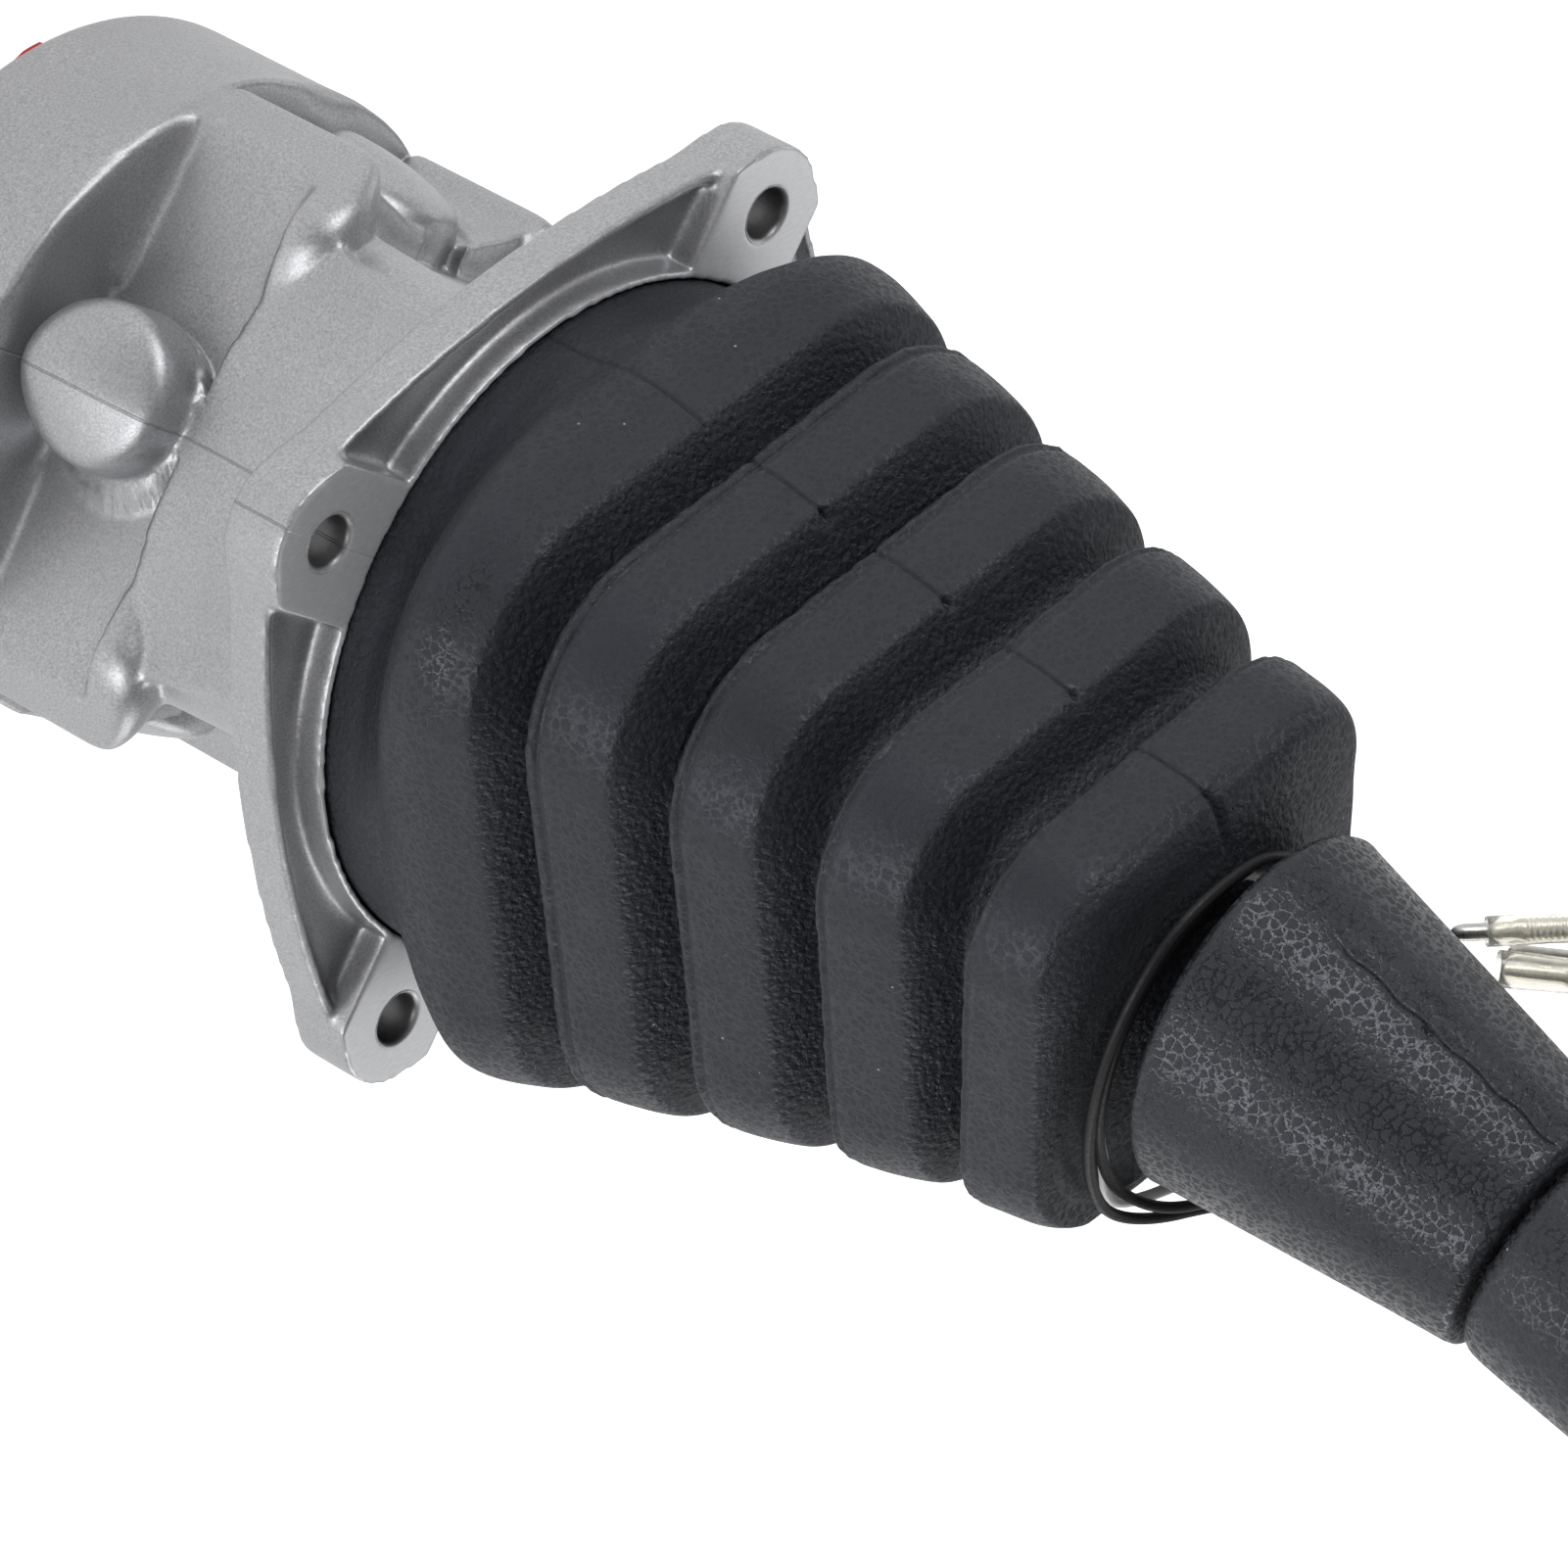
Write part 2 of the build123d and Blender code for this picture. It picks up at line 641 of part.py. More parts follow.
def button_spring():
    low = switch_low_z() + switch_height
    high = grip_top + button_proud - 3.0
    return grip_frame(spring(3.6, 0.8, low, high, 4.0))


# Boot

def boot_profile():
    # height, half side, corner share, lean and shift of each section of the outer skin
    foot_z = -deck_depth + soft_gap
    rows = [
        (foot_z, boot_foot_r, round_share, 0.0, 0.0), (4.0, boot_foot_r, round_share, 0.0, 0.0),
        (8.5, boot_foot_r, 0.88, 0.0, 0.0)]
    for k, half in enumerate(ridge_halves):
        z = ridge_first_z + ridge_pitch * k
        lean = ridge_leans[k]
        shift = ridge_shifts[k]
        last = k + 1 == len(ridge_halves)
        steps = crest_steps[2:] if k == 0 else crest_steps[:4] if last else crest_steps
        rows += [(z + dz, half - drop, ridge_corner_share, lean, shift) for dz, drop in steps]
        if not last:
            middle = (half + ridge_halves[k + 1]) / 2.0 - valley_drop
            rows.append((z + ridge_pitch / 2.0, middle, ridge_corner_share, lean, shift))
    slope = math.tan(math.radians(lean_deg))
    for z, half, share, lean in boot_top_rows:
        rows.append((z, half, share, lean, (bend_z - z) * slope))
    return rows


def boot_sections(inset, low_row):
    sections = []
    for z, half, share, lean, shift in boot_profile()[low_row:]:
        side = half - inset
        face = RectangleRounded(2.0 * side, 2.0 * side, side * share)
        sections.append(Pos(0, shift, z) * Rot(lean, 0, 0) * face)
    return sections


def boot():
    skin = loft(boot_sections(0.0, 0), ruled=True)
    hollow = loft(boot_sections(boot_wall, 1), ruled=True)
    foot_z = -deck_depth + soft_gap
    mouth = disc(ring_seat_r + soft_gap, foot_z - 1.0, 4.5)
    floor = disc(boot_foot_r - boot_wall, foot_z + boot_foot_thick, 4.5)
    return skin - hollow - mouth - floor


# Leads, in the grip's frame: out of the skirt, round the boot's neck, up behind the grip
# to the tie, over in a bow and down to the terminals

def turn_radii(points):
    radii = []
    spots = [Vector(*p) for p in points]
    for before, here, after in zip(spots, spots[1:], spots[2:]):
        turn = math.radians((here - before).get_angle(after - here))
        shorter = min((here - before).length, (after - here).length)
        radii.append(0.45 * shorter / math.tan(turn / 2.0))
    return radii


def along_bullet(name, distance):
    tip, aim = ends[name][:2]
    spot = Vector(*tip) + Vector(*aim).normalized() * distance
    return (spot.X, spot.Y, spot.Z)


def lead(name, route):
    tail = [along_bullet(name, bullet_length + bullet_run), along_bullet(name, bullet_length)]
    points = [grip_point(*p) for p in route + tail]
    radii = turn_radii(points)
    path = FilletPolyline(*points, radius=radii)
    start = Plane(origin=points[0], z_dir=Vector(*points[1]) - Vector(*points[0]))
    tube = sweep(start * Circle(lead_d / 2.0), path=path)
    share = tube.volume / (math.pi * lead_d ** 2 / 4.0 * path.length)
    print(name, "length", round(path.length, 1), "volume share", round(share, 3),
          "radii", [round(r, 1) for r in radii])
    return tube


def bullet_plane(name):
    low = Vector(*grip_point(*along_bullet(name, 0.0)))
    high = Vector(*grip_point(*along_bullet(name, 1.0)))
    return Plane(origin=low, z_dir=high - low)


def terminal(name):
    # pin with a rounded tip, barrel and crimped neck on the lead's end
    points = [
        (0.0, 0.0), (0.7, 0.3), (1.1, 1.2), (1.1, 8.0), (1.45, 8.8), (1.45, 15.5), (1.2, 16.3),
        (1.2, 18.0), (1.35, 18.8), (1.35, bullet_length), (0.0, bullet_length)]
    return bullet_plane(name) * revolved(points)


def sleeve(name):
    radius, start, length = ends[name][2:]
    return bullet_plane(name) * ring(radius, radius - sleeve_wall, start, start + length)


def lead_tie():
    # band drawn round the grip and the three leads
    outline = Pos(*tie_shift) * Ellipse(tie_reach_x, tie_reach_y)
    core = Pos(*tie_shift) * Ellipse(tie_reach_x - tie_thick, tie_reach_y - tie_thick)
    band = extrude(Pos(0, 0, tie_z - tie_width / 2.0) * (outline - core), tie_width)
    head = Pos(0, tie_reach_y, tie_z) * Box(6.0, 4.5, 5.0)
    inside = extrude(Pos(0, 0, tie_z - tie_width) * core, 2.0 * tie_width)
    return grip_frame(band + (head - inside))


def save_four(name, shape):
    for k, copy in enumerate(around(4, shape)):
        save(name + "_" + str(k + 1), copy)


def save_all():
    save("valve_body", valve_body())
    save("port_cap", port_cap())
    save("centre_plug", centre_plug())
    save("centre_seal", centre_seal())
    save("guide_plugs", Compound(children=around(4, guide_plug())))
    save("plug_o_rings", Compound(children=around(4, plug_o_ring())))
    save("rod_seals", Compound(children=around(4, rod_seal())))
    save("retainer_plate", retainer_plate())
    save("retainer_screws", Compound(children=retainer_screw_places(retainer_screw())))
    save("boot_ring", boot_ring())
    save("ring_screws", Compound(children=ring_screw_places(ring_screw())))
    save("joint_stud", joint_stud())
    save("joint_cross", joint_cross())
    save("joint_fork", joint_fork())
    save("tilt_disc", tilt_disc())
    save("adjusting_nut", plain_nut(adjusting_nut_flats, hub_top_z(), hub_top_z() + adjusting_nut_height))
    save("lock_nut", plain_nut(lock_nut_flats, coupling_low_z() - lock_nut_height, coupling_low_z()))
    save("coupling_nut", plain_nut(coupling_flats, coupling_low_z(), coupling_low_z() + coupling_height))
    save("lever", lever())
    save("grip_skirt", grip_skirt())
    save("grip_body", grip_body())
    save("button", button())
    save("button_switch", button_switch())
    save("button_spring", button_spring())
    save("boot", boot())
    for name, route in (("black", route_black), ("black_two", route_black_two), ("white", route_white)):
        save("lead_" + name, lead(name, route))
        save("terminal_" + name, terminal(name))
        save("sleeve_" + name, sleeve(name))
    save("lead_tie", lead_tie())
    save_four("push_rod", push_rod())
    save_four("spring_seat", spring_seat())
    save_four("spool", spool())
    save_four("return_spring", return_spring())
    save_four("metering_spring", metering_spring())


save_all()
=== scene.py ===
import json
import math

import bpy
import numpy as np
from mathutils import Matrix, Vector


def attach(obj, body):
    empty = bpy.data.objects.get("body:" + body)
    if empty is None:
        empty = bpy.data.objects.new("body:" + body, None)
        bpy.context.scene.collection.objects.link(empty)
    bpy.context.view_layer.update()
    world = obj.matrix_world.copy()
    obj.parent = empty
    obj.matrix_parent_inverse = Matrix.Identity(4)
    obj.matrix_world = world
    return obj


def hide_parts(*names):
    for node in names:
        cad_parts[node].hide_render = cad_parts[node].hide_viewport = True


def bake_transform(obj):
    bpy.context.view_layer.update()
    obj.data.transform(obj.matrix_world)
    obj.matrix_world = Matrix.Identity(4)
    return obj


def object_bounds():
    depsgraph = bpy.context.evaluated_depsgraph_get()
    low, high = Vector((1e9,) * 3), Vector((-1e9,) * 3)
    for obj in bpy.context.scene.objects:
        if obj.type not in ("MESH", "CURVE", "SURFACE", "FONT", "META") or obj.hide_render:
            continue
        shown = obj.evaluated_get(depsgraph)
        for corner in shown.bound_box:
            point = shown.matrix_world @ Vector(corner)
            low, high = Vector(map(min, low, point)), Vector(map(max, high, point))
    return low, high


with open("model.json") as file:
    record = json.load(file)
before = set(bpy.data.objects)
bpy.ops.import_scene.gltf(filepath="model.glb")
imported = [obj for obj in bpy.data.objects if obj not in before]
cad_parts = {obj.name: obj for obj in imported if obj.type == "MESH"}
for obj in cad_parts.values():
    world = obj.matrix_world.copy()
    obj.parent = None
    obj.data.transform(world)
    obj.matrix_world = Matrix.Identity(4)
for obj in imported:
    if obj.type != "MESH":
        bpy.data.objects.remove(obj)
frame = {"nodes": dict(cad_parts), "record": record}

# A hydraulic pilot valve joystick, in the frame of the CAD model: +Z from the bolt flange
# towards the grip, which leans towards -Y above the bend. Objects are in metres, and sizes that
# are multiplied by MM are written in mm.

cad_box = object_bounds()
nodes = frame["nodes"]
MM = 0.001
BEND = 95.0
LEAN = math.radians(16.0)


def grip_point(x, y, z):
    """Millimetres in the grip's own frame to metres in the row frame."""
    c, s = math.cos(LEAN), math.sin(LEAN)
    return Vector((x, y * c - z * s, BEND + y * s + z * c)) * MM


GRIP = Matrix.Translation((0, 0, BEND * MM)) @ Matrix.Rotation(LEAN, 4, "X")


# Camera, fitted to the three visible bolt holes

SENSOR = 36.0
FOCAL_PIXELS = 9000.0
PHOTO_PIXELS = 1601.0


def make_camera():
    right = Vector((0.66473, -0.074017, 0.743408))
    down = Vector((-0.533441, -0.743694, 0.402939))
    forward = Vector((0.523044, -0.66441, -0.533839))
    turn = Matrix((right, -down, -forward)).transposed().to_4x4()
    data = bpy.data.cameras.new("camera")
    data.sensor_width = SENSOR
    data.lens = SENSOR * FOCAL_PIXELS / PHOTO_PIXELS
    data.clip_start = 0.05
    data.clip_end = 20.0
    cam = bpy.data.objects.new("camera", data)
    cam.matrix_world = Matrix.Translation((-0.58091, 0.727904, 0.626508)) @ turn
    bpy.context.scene.collection.objects.link(cam)
    bpy.context.scene.camera = cam


# Mesh helpers

def mesh_object(name, verts, faces, smooth=True):
    mesh = bpy.data.meshes.new(name)
    mesh.from_pydata([tuple(map(float, v)) for v in verts], [], faces)
    mesh.update()
    if smooth:
        mesh.shade_smooth()
    obj = bpy.data.objects.new(name, mesh)
    bpy.context.scene.collection.objects.link(obj)
    return obj


def grid_faces(rows, cols, first=0, flip=False):
    faces = []
    for i in range(rows - 1):
        for j in range(cols):
            a = first + i * cols + j
            b = first + i * cols + (j + 1) % cols
            quad = (a, b, b + cols, a + cols)
            faces.append(quad[::-1] if flip else quad)
    return faces


def rings(name, rows, segments, place):
    """Skin through ellipses in mm: half width (0 is a pole), half depth, shift along y, height."""
    t = np.linspace(0, 2 * np.pi, segments, endpoint=False)
    verts, loops = [], []
    for rx, ry, shift, z in rows:
        if rx < 1e-6:
            loops.append([len(verts)])
            verts.append((0.0, shift, z))
        else:
            loops.append(list(range(len(verts), len(verts) + segments)))
            verts += [(rx * np.cos(a), ry * np.sin(a) + shift, z) for a in t]
    faces = []
    for low, high in zip(loops, loops[1:]):
        for j in range(segments):
            k = (j + 1) % segments
            if len(low) == 1:
                faces.append((low[0], high[k], high[j]))
            elif len(high) == 1:
                faces.append((low[j], low[k], high[0]))
            else:
                faces.append((low[j], low[k], high[k], high[j]))
    obj = mesh_object(name, np.array(verts) * MM, faces)
    obj.data.transform(place)
    return obj


def read_points(mesh, field):
    """The points' places or normals, one row of three numbers each."""
    values = np.empty(len(mesh.vertices) * 3, np.float32)
    mesh.vertices.foreach_get(field, values)
    return values.reshape(-1, 3)


def move_points(mesh, co):
    mesh.vertices.foreach_set("co", co.astype(np.float32).ravel())
    mesh.update()


def add_layers(mesh, **layers):
    """Point attributes, which the materials read by name."""
    for name, value in layers.items():
        layer = mesh.attributes.new(name, "FLOAT", "POINT")
        layer.data.foreach_set("value", value.astype(np.float32))


# Material helpers

class Paint:
    """A node material built in short calls. Heights are in metres, scales per metre."""

    def __init__(self, name, colour, rough, metallic=0.0, space="Object"):
        self.mat = bpy.data.materials.new(name)
        self.mat.use_nodes = True
        self.tree = self.mat.node_tree
        self.tree.nodes.clear()
        out = self.node("OutputMaterial")
        self.bsdf = self.node("BsdfPrincipled")
        self.link(self.bsdf.outputs[0], out.inputs[0])
        self.bsdf.inputs["Base Color"].default_value = (*colour, 1)
        self.bsdf.inputs["Roughness"].default_value = rough
        self.bsdf.inputs["Metallic"].default_value = metallic
        if space == "Object":
            self.place = self.node("TexCoord").outputs["Object"]
        else:
            rest = self.node("Attribute")
            rest.attribute_name = space
            self.place = rest.outputs["Vector"]
        self.heights = []

    def node(self, kind):
        return self.tree.nodes.new("ShaderNode" + kind)

    def link(self, a, b):
        self.tree.links.new(a, b)

    def attribute(self, name):
        node = self.node("Attribute")
        node.attribute_name = name
        return node.outputs["Fac"]

    def noise(self, scale, detail=3.0, rough=0.55, stretch=None):
        node = self.node("TexNoise")
        node.inputs["Scale"].default_value = scale
        node.inputs["Detail"].default_value = detail
        node.inputs["Roughness"].default_value = rough
        self.link(self.stretched(stretch), node.inputs["Vector"])
        return node.outputs["Fac"]

    def stretched(self, stretch):
        if stretch is None:
            return self.place
        mapping = self.node("Mapping")
        mapping.inputs["Scale"].default_value = stretch
        self.link(self.place, mapping.inputs["Vector"])
        return mapping.outputs[0]

    def warped(self, scale, amount):
        """The surface's place, pushed about by noise of this scale and by this many metres."""
        node = self.node("TexNoise")
        node.inputs["Scale"].default_value = scale
        node.inputs["Detail"].default_value = 2.0
        self.link(self.place, node.inputs["Vector"])
        centred = self.node("VectorMath")
        centred.operation = "SUBTRACT"
        centred.inputs[1].default_value = (0.5, 0.5, 0.5)
        self.link(node.outputs["Color"], centred.inputs[0])
        moved = self.node("VectorMath")
        moved.operation = "MULTIPLY_ADD"
        moved.inputs[1].default_value = (amount, amount, amount)
        self.link(centred.outputs[0], moved.inputs[0])
        self.link(self.place, moved.inputs[2])
        return moved.outputs[0]

    def cells(self, scale, feature="DISTANCE_TO_EDGE", vector=None):
        node = self.node("TexVoronoi")
        node.feature = feature
        node.inputs["Scale"].default_value = scale
        self.link(vector or self.place, node.inputs["Vector"])
        return node.outputs["Distance"]

    def plane_distance(self, normal, scale, wander):
        """Distance from a plane through the origin, which noise moves by up to wander metres."""
        node = self.node("VectorMath")
        node.operation = "DOT_PRODUCT"
        node.inputs[1].default_value = normal
        self.link(self.place, node.inputs[0])
        wave = self.math("MULTIPLY", self.math("SUBTRACT", self.noise(scale, 2.0), 0.5), wander)
        return self.math("ABSOLUTE", self.math("ADD", node.outputs["Value"], wave), 0.0)

    def ramp(self, value, low, high, out_low=0.0, out_high=1.0):
        node = self.node("MapRange")
        node.interpolation_type = "SMOOTHSTEP"
        node.inputs["From Min"].default_value = low
        node.inputs["From Max"].default_value = high
        node.inputs["To Min"].default_value = out_low
        node.inputs["To Max"].default_value = out_high
        self.link(value, node.inputs["Value"])
        return node.outputs[0]

    def math(self, operation, a, b):
        node = self.node("Math")
        node.operation = operation
        for socket, value in zip(node.inputs, (a, b)):
            if isinstance(value, (int, float)):
                socket.default_value = value
            else:
                self.link(value, socket)
        return node.outputs[0]

    def mix(self, fac, a, b):
        """Colour between two colours or outputs."""
        node = self.node("Mix")
        node.data_type = "RGBA"
        for key, value in (("Factor", fac), (6, a), (7, b)):
            socket = node.inputs[key]
            if isinstance(value, tuple):
                socket.default_value = (*value, 1)
            elif isinstance(value, (int, float)):
                socket.default_value = value
            else:
                self.link(value, socket)
        return node.outputs[2]

    def blend(self, fac, a, b):
        """Number between two outputs."""
        return self.math("ADD", self.math("MULTIPLY", b, fac), self.math(
            "MULTIPLY", a, self.math("SUBTRACT", 1.0, fac)))

    def colour(self, value):
        self.link(value, self.bsdf.inputs["Base Color"])
        return self

    def rough(self, value):
        self.link(value, self.bsdf.inputs["Roughness"])
        return self

    def set(self, **values):
        for name, value in values.items():
            self.bsdf.inputs[name.replace("_", " ")].default_value = value
        return self

    def bump(self, value, height):
        """Adds a height map; value runs from 0 to 1 over height metres."""
        self.heights.append((value, height))
        return self

    def done(self):
        normal = None
        for value, height in self.heights:
            node = self.node("Bump")
            node.inputs["Strength"].default_value = 1.0
            node.inputs["Distance"].default_value = height
            self.link(value, node.inputs["Height"])
            if normal is not None:
                self.link(normal, node.inputs["Normal"])
            normal = node.outputs[0]
        if normal is not None:
            self.link(normal, self.bsdf.inputs["Normal"])
        return self.mat


def dress(obj, mat):
    """Gives the object this one material."""
    if obj.name in nodes:
        for slot in obj.material_slots:
            slot.link = "OBJECT"
            slot.material = mat
    else:
        obj.data.materials.clear()
        obj.data.materials.append(mat)


# Materials

def cast_aluminium():
    p = Paint("sand-blasted aluminium", (0.43, 0.435, 0.45), 0.42, 0.8)
    milled = p.attribute("milled")
    bore = p.attribute("bore")
    grain = p.noise(2600, 4.0, 0.7)
    fine = p.noise(6500, 2.0, 0.6)
    cloud = p.noise(55, 4.0, 0.55)
    # Sparse bright flecks in the grain: painted glints of the blasted surface.
    glint_fleck = p.ramp(p.noise(4300, 1.0, 0.5), 0.66, 0.72)
    tone = p.mix(p.ramp(grain, 0.25, 0.75), (0.31, 0.313, 0.325), (0.56, 0.564, 0.577))
    tone = p.mix(p.ramp(cloud, 0.3, 0.75, 0.0, 0.5), tone, (0.39, 0.392, 0.405))
    tone = p.mix(p.math("MULTIPLY", glint_fleck, 0.5), tone, (0.72, 0.72, 0.73))
    from_plane = p.plane_distance((0.7071, 0.7071, 0.0), 60, 0.0003)
    parting = p.ramp(from_plane, 0.00012, 0.00022, 1.0, 0.0)
    lines = p.noise(700, 2.0, 0.5, (1.0, 9.0, 1.0))
    face = p.mix(p.ramp(lines, 0.3, 0.7), (0.68, 0.685, 0.70), (0.82, 0.825, 0.835))
    tone = p.mix(p.math("MULTIPLY", parting, 0.45), tone, (0.16, 0.16, 0.165))
    tone = p.mix(milled, tone, face)
    # The bolt holes' bores are painted dark grey: painted shade inside the holes.
    p.colour(p.mix(bore, tone, (0.16, 0.16, 0.165)))
    matt = p.ramp(fine, 0.3, 0.7, 0.36, 0.5)
    polish = p.ramp(lines, 0.3, 0.7, 0.32, 0.42)
    p.rough(p.blend(milled, matt, polish))
    p.link(p.math("SUBTRACT", 0.8, p.math("MULTIPLY", milled, 0.4)), p.bsdf.inputs["Metallic"])
    p.bump(p.math("MULTIPLY", grain, p.math("SUBTRACT", 1.0, milled)), 0.00004)
    p.bump(parting, 0.00012)
    p.bump(cloud, 0.0002)
    return p.done()


def moulded_rubber(name, tint, net_share, space="Object"):
    """Black rubber moulded in an etched tool: matt cells in a net of glossy lines, which are painted
    darker as shade in their grooves.
    """
    p = Paint(name, tint, 0.6, space=space)
    slope = p.attribute("slope")
    strip = p.attribute("strip")
    glossy = p.attribute("glossy")
    warp = p.warped(1500, 0.0009)
    edge = p.cells(740, vector=warp)
    line = p.ramp(edge, 0.08, 0.17, 1.0, 0.0)
    patches = p.ramp(p.noise(230, 2.0), 0.3, 0.5, 0.6, 1.0)
    share = p.math("MAXIMUM", glossy, net_share)
    net = p.math("MULTIPLY", p.math("MULTIPLY", line, patches), share)
    leather = p.cells(1250, "SMOOTH_F1", p.warped(1900, 0.0008))
    flecks = p.ramp(p.noise(1500, 2.0, 0.6), 0.62, 0.72)
    grain = p.noise(2600, 3.0, 0.6)
    rough = p.noise(900, 4.0, 0.7)
    cloud = p.noise(60, 3.0, 0.5)
    light = tuple(1.2 * c for c in tint)
    dark = tuple(0.86 * c for c in tint)
    base = p.mix(p.ramp(cloud, 0.3, 0.7), dark, light)
    # The net's lines are painted darker: painted shade in the grooves between the cells, stronger where
    # the glossy mask raises the net.
    base = p.mix(p.math("MULTIPLY", net, 0.5), base, tuple(0.4 * c for c in tint))
    worn = p.math("MULTIPLY", flecks, p.math("ADD", 0.12, p.math("MULTIPLY", slope, 0.4)))
    base = p.mix(worn, base, tuple(3.2 * c for c in tint))
    scuffed = p.math("MULTIPLY", p.ramp(rough, 0.55, 0.66), strip)
    base = p.mix(p.math("MULTIPLY", scuffed, 0.7), base, tuple(4.0 * c for c in tint))
    dust = p.ramp(p.cells(240, "F1"), 0.035, 0.05, 1.0, 0.0)
    dust = p.math("MULTIPLY", dust, p.ramp(p.noise(24, 1.0), 0.57, 0.62))
    p.colour(p.mix(dust, base, (0.32, 0.32, 0.33)))
    matt = p.ramp(grain, 0.3, 0.7, 0.58, 0.72)
    p.rough(p.math("SUBTRACT", matt, p.math("MULTIPLY", net, 0.36)))
    p.bump(p.math("MULTIPLY", leather, p.math("ADD", 0.3, p.math("MULTIPLY", slope, 0.7))), 0.00026)
    p.bump(p.math("MULTIPLY", rough, strip), 0.0005)
    p.bump(p.math("MULTIPLY", net, -1.0), 0.00004)
    p.bump(grain, 0.00006)
    p.set(Specular_IOR_Level=0.5, Specular_Tint=(0.88, 0.92, 1.0, 1.0))
    return p.done()


def turned_steel(name, colour, rough):
    p = Paint(name, colour, rough, 1.0)
    brush = p.noise(900, 3.0, 0.6, (1, 1, 12))
    stain = p.noise(120, 3.0, 0.5)
    dark = tuple(0.82 * c for c in colour)
    p.colour(p.mix(p.ramp(stain, 0.35, 0.7), dark, colour))
    p.rough(p.ramp(brush, 0.3, 0.7, rough - 0.06, rough + 0.1))
    p.bump(brush, 0.00002)
    return p.done()


def smooth_rubber(name, colour, rough, specular=0.5):
    p = Paint(name, colour, rough).set(Specular_IOR_Level=specular)
    grain = p.noise(2400, 2.0, 0.6)
    p.rough(p.ramp(grain, 0.3, 0.7, rough - 0.08, rough + 0.1))
    p.bump(grain, 0.00004)
    return p.done()


def plastic(name, colour, rough):
    p = Paint(name, colour, rough)
    cloud = p.noise(90, 2.0, 0.5)
    dark = tuple(0.88 * c for c in colour)
    fine = p.noise(3200, 2.0, 0.5)
    p.colour(p.mix(p.ramp(cloud, 0.35, 0.65), dark, colour))
    p.rough(p.ramp(fine, 0.3, 0.7, rough - 0.06, rough + 0.08))
    p.bump(fine, 0.00003)
    return p.done()


def clear_sleeve():
    p = Paint("clear sleeve", (0.93, 0.92, 0.86), 0.16)
    p.set(Transmission_Weight=0.9, IOR=1.42)
    wave = p.noise(700, 2.0, 0.5)
    p.rough(p.ramp(wave, 0.3, 0.7, 0.1, 0.24))
    p.bump(wave, 0.00003)
    return p.done()


# Boot: rounded-square rings from the foot to the neck

RIDGE_FIRST = 20.0
RIDGE_PITCH = 19.0
RIDGE_HALVES = (46.5, 42.3, 38.2, 34.4, 31.0)
# lean in degrees, rise above the even pitch and shift along y of each ridge
RIDGE_LEANS = (0.0, 0.0, 0.6, 2.2, 5.6)
RIDGE_RISES = (0.0, 0.0, 0.4, 0.9, 1.2)
RIDGE_SHIFTS = (0.0, 0.0, -0.3, -1.2, -2.8)
RIDGES = len(RIDGE_HALVES)
VALLEY_DROP = 7.0
# height from the ridge's middle, and how far inside its half width the skin is there
CREST = ((-8.6, 6.0), (-7.4, 2.0), (-6.6, 0.1), (-5.4, -0.75), (-4.2, -0.6),
         (4.2, 1.05), (5.4, 1.5), (6.5, 2.9), (7.6, 5.2))
# height, half width, how round the corners are (1 is a circle), lean in degrees, shift along y
FOOT_ROWS = ((-2.7, 46.1, 0.995, 0.0, 0.0), (0.0, 46.1, 0.995, 0.0, 0.0), (4.0, 46.1, 0.99, 0.0, 0.0),
             (8.5, 46.3, 0.88, 0.0, 0.0), (12.5, 47.0, 0.62, 0.0, 0.0))
# the same without the shift, which follows the lever there
NECK_ROWS = ((102.2, 28.0, 0.5, 8.0), (103.0, 21.5, 0.7, 11.5), (104.6, 16.0, 0.9, 14.5),
             (106.8, 11.5, 0.995, 16.0), (110.0, 8.6, 0.995, 16.0), (123.8, 8.6, 0.995, 16.0))
# thickness, height of the swollen top, step between rows, and overlap of the halves at the split
WALL = 2.4
SWELL = 3.0
ROW_STEP = 0.4
LAP = 0.35


def ridge_z(k):
    return RIDGE_FIRST + RIDGE_PITCH * k


def boot_rows():
    rows = list(FOOT_ROWS)
    for k, half in enumerate(RIDGE_HALVES):
        z = ridge_z(k) + RIDGE_RISES[k]
        last = k == RIDGES - 1
        crest = CREST[4:] if k == 0 else CREST[:6] if last else CREST
        rows += [(z + dz, half - drop, 0.5, RIDGE_LEANS[k], RIDGE_SHIFTS[k]) for dz, drop in crest]
        if not last:
            middle = (half + RIDGE_HALVES[k + 1]) / 2 - VALLEY_DROP
            rows.append((z + RIDGE_PITCH / 2, middle, 0.5, RIDGE_LEANS[k], RIDGE_SHIFTS[k]))
    slope = math.tan(LEAN)
    rows += [(z, half, share, lean, (BEND - z) * slope) for z, half, share, lean in NECK_ROWS]
    return rows


def resample(rows, step):
    """Rows at even steps along the profile, through a smooth curve that doesn't overshoot."""
    rows = np.array(rows, float)
    s = np.r_[0, np.cumsum(np.hypot(np.diff(rows[:, 0]), np.diff(rows[:, 1])))]
    want = np.linspace(0, s[-1], int(s[-1] / step) + 1)
    out = np.empty((len(want), rows.shape[1]))
    h = np.diff(s)
    for c in range(rows.shape[1]):
        y = rows[:, c]
        d = np.diff(y) / h
        m = np.zeros(len(y))
        m[0], m[-1] = d[0], d[-1]
        for i in range(1, len(y) - 1):
            if d[i - 1] * d[i] > 0:
                w1, w2 = 2 * h[i] + h[i - 1], h[i] + 2 * h[i - 1]
                m[i] = (w1 + w2) / (w1 / d[i - 1] + w2 / d[i])
        k = np.clip(np.searchsorted(s, want, side="right") - 1, 0, len(h) - 1)
        t = (want - s[k]) / h[k]
        out[:, c] = (y[k] * (1 + 2 * t) * (1 - t) ** 2 + h[k] * m[k] * t * (1 - t) ** 2
                     + y[k + 1] * t * t * (3 - 2 * t) + h[k] * m[k + 1] * t * t * (t - 1))
    return out


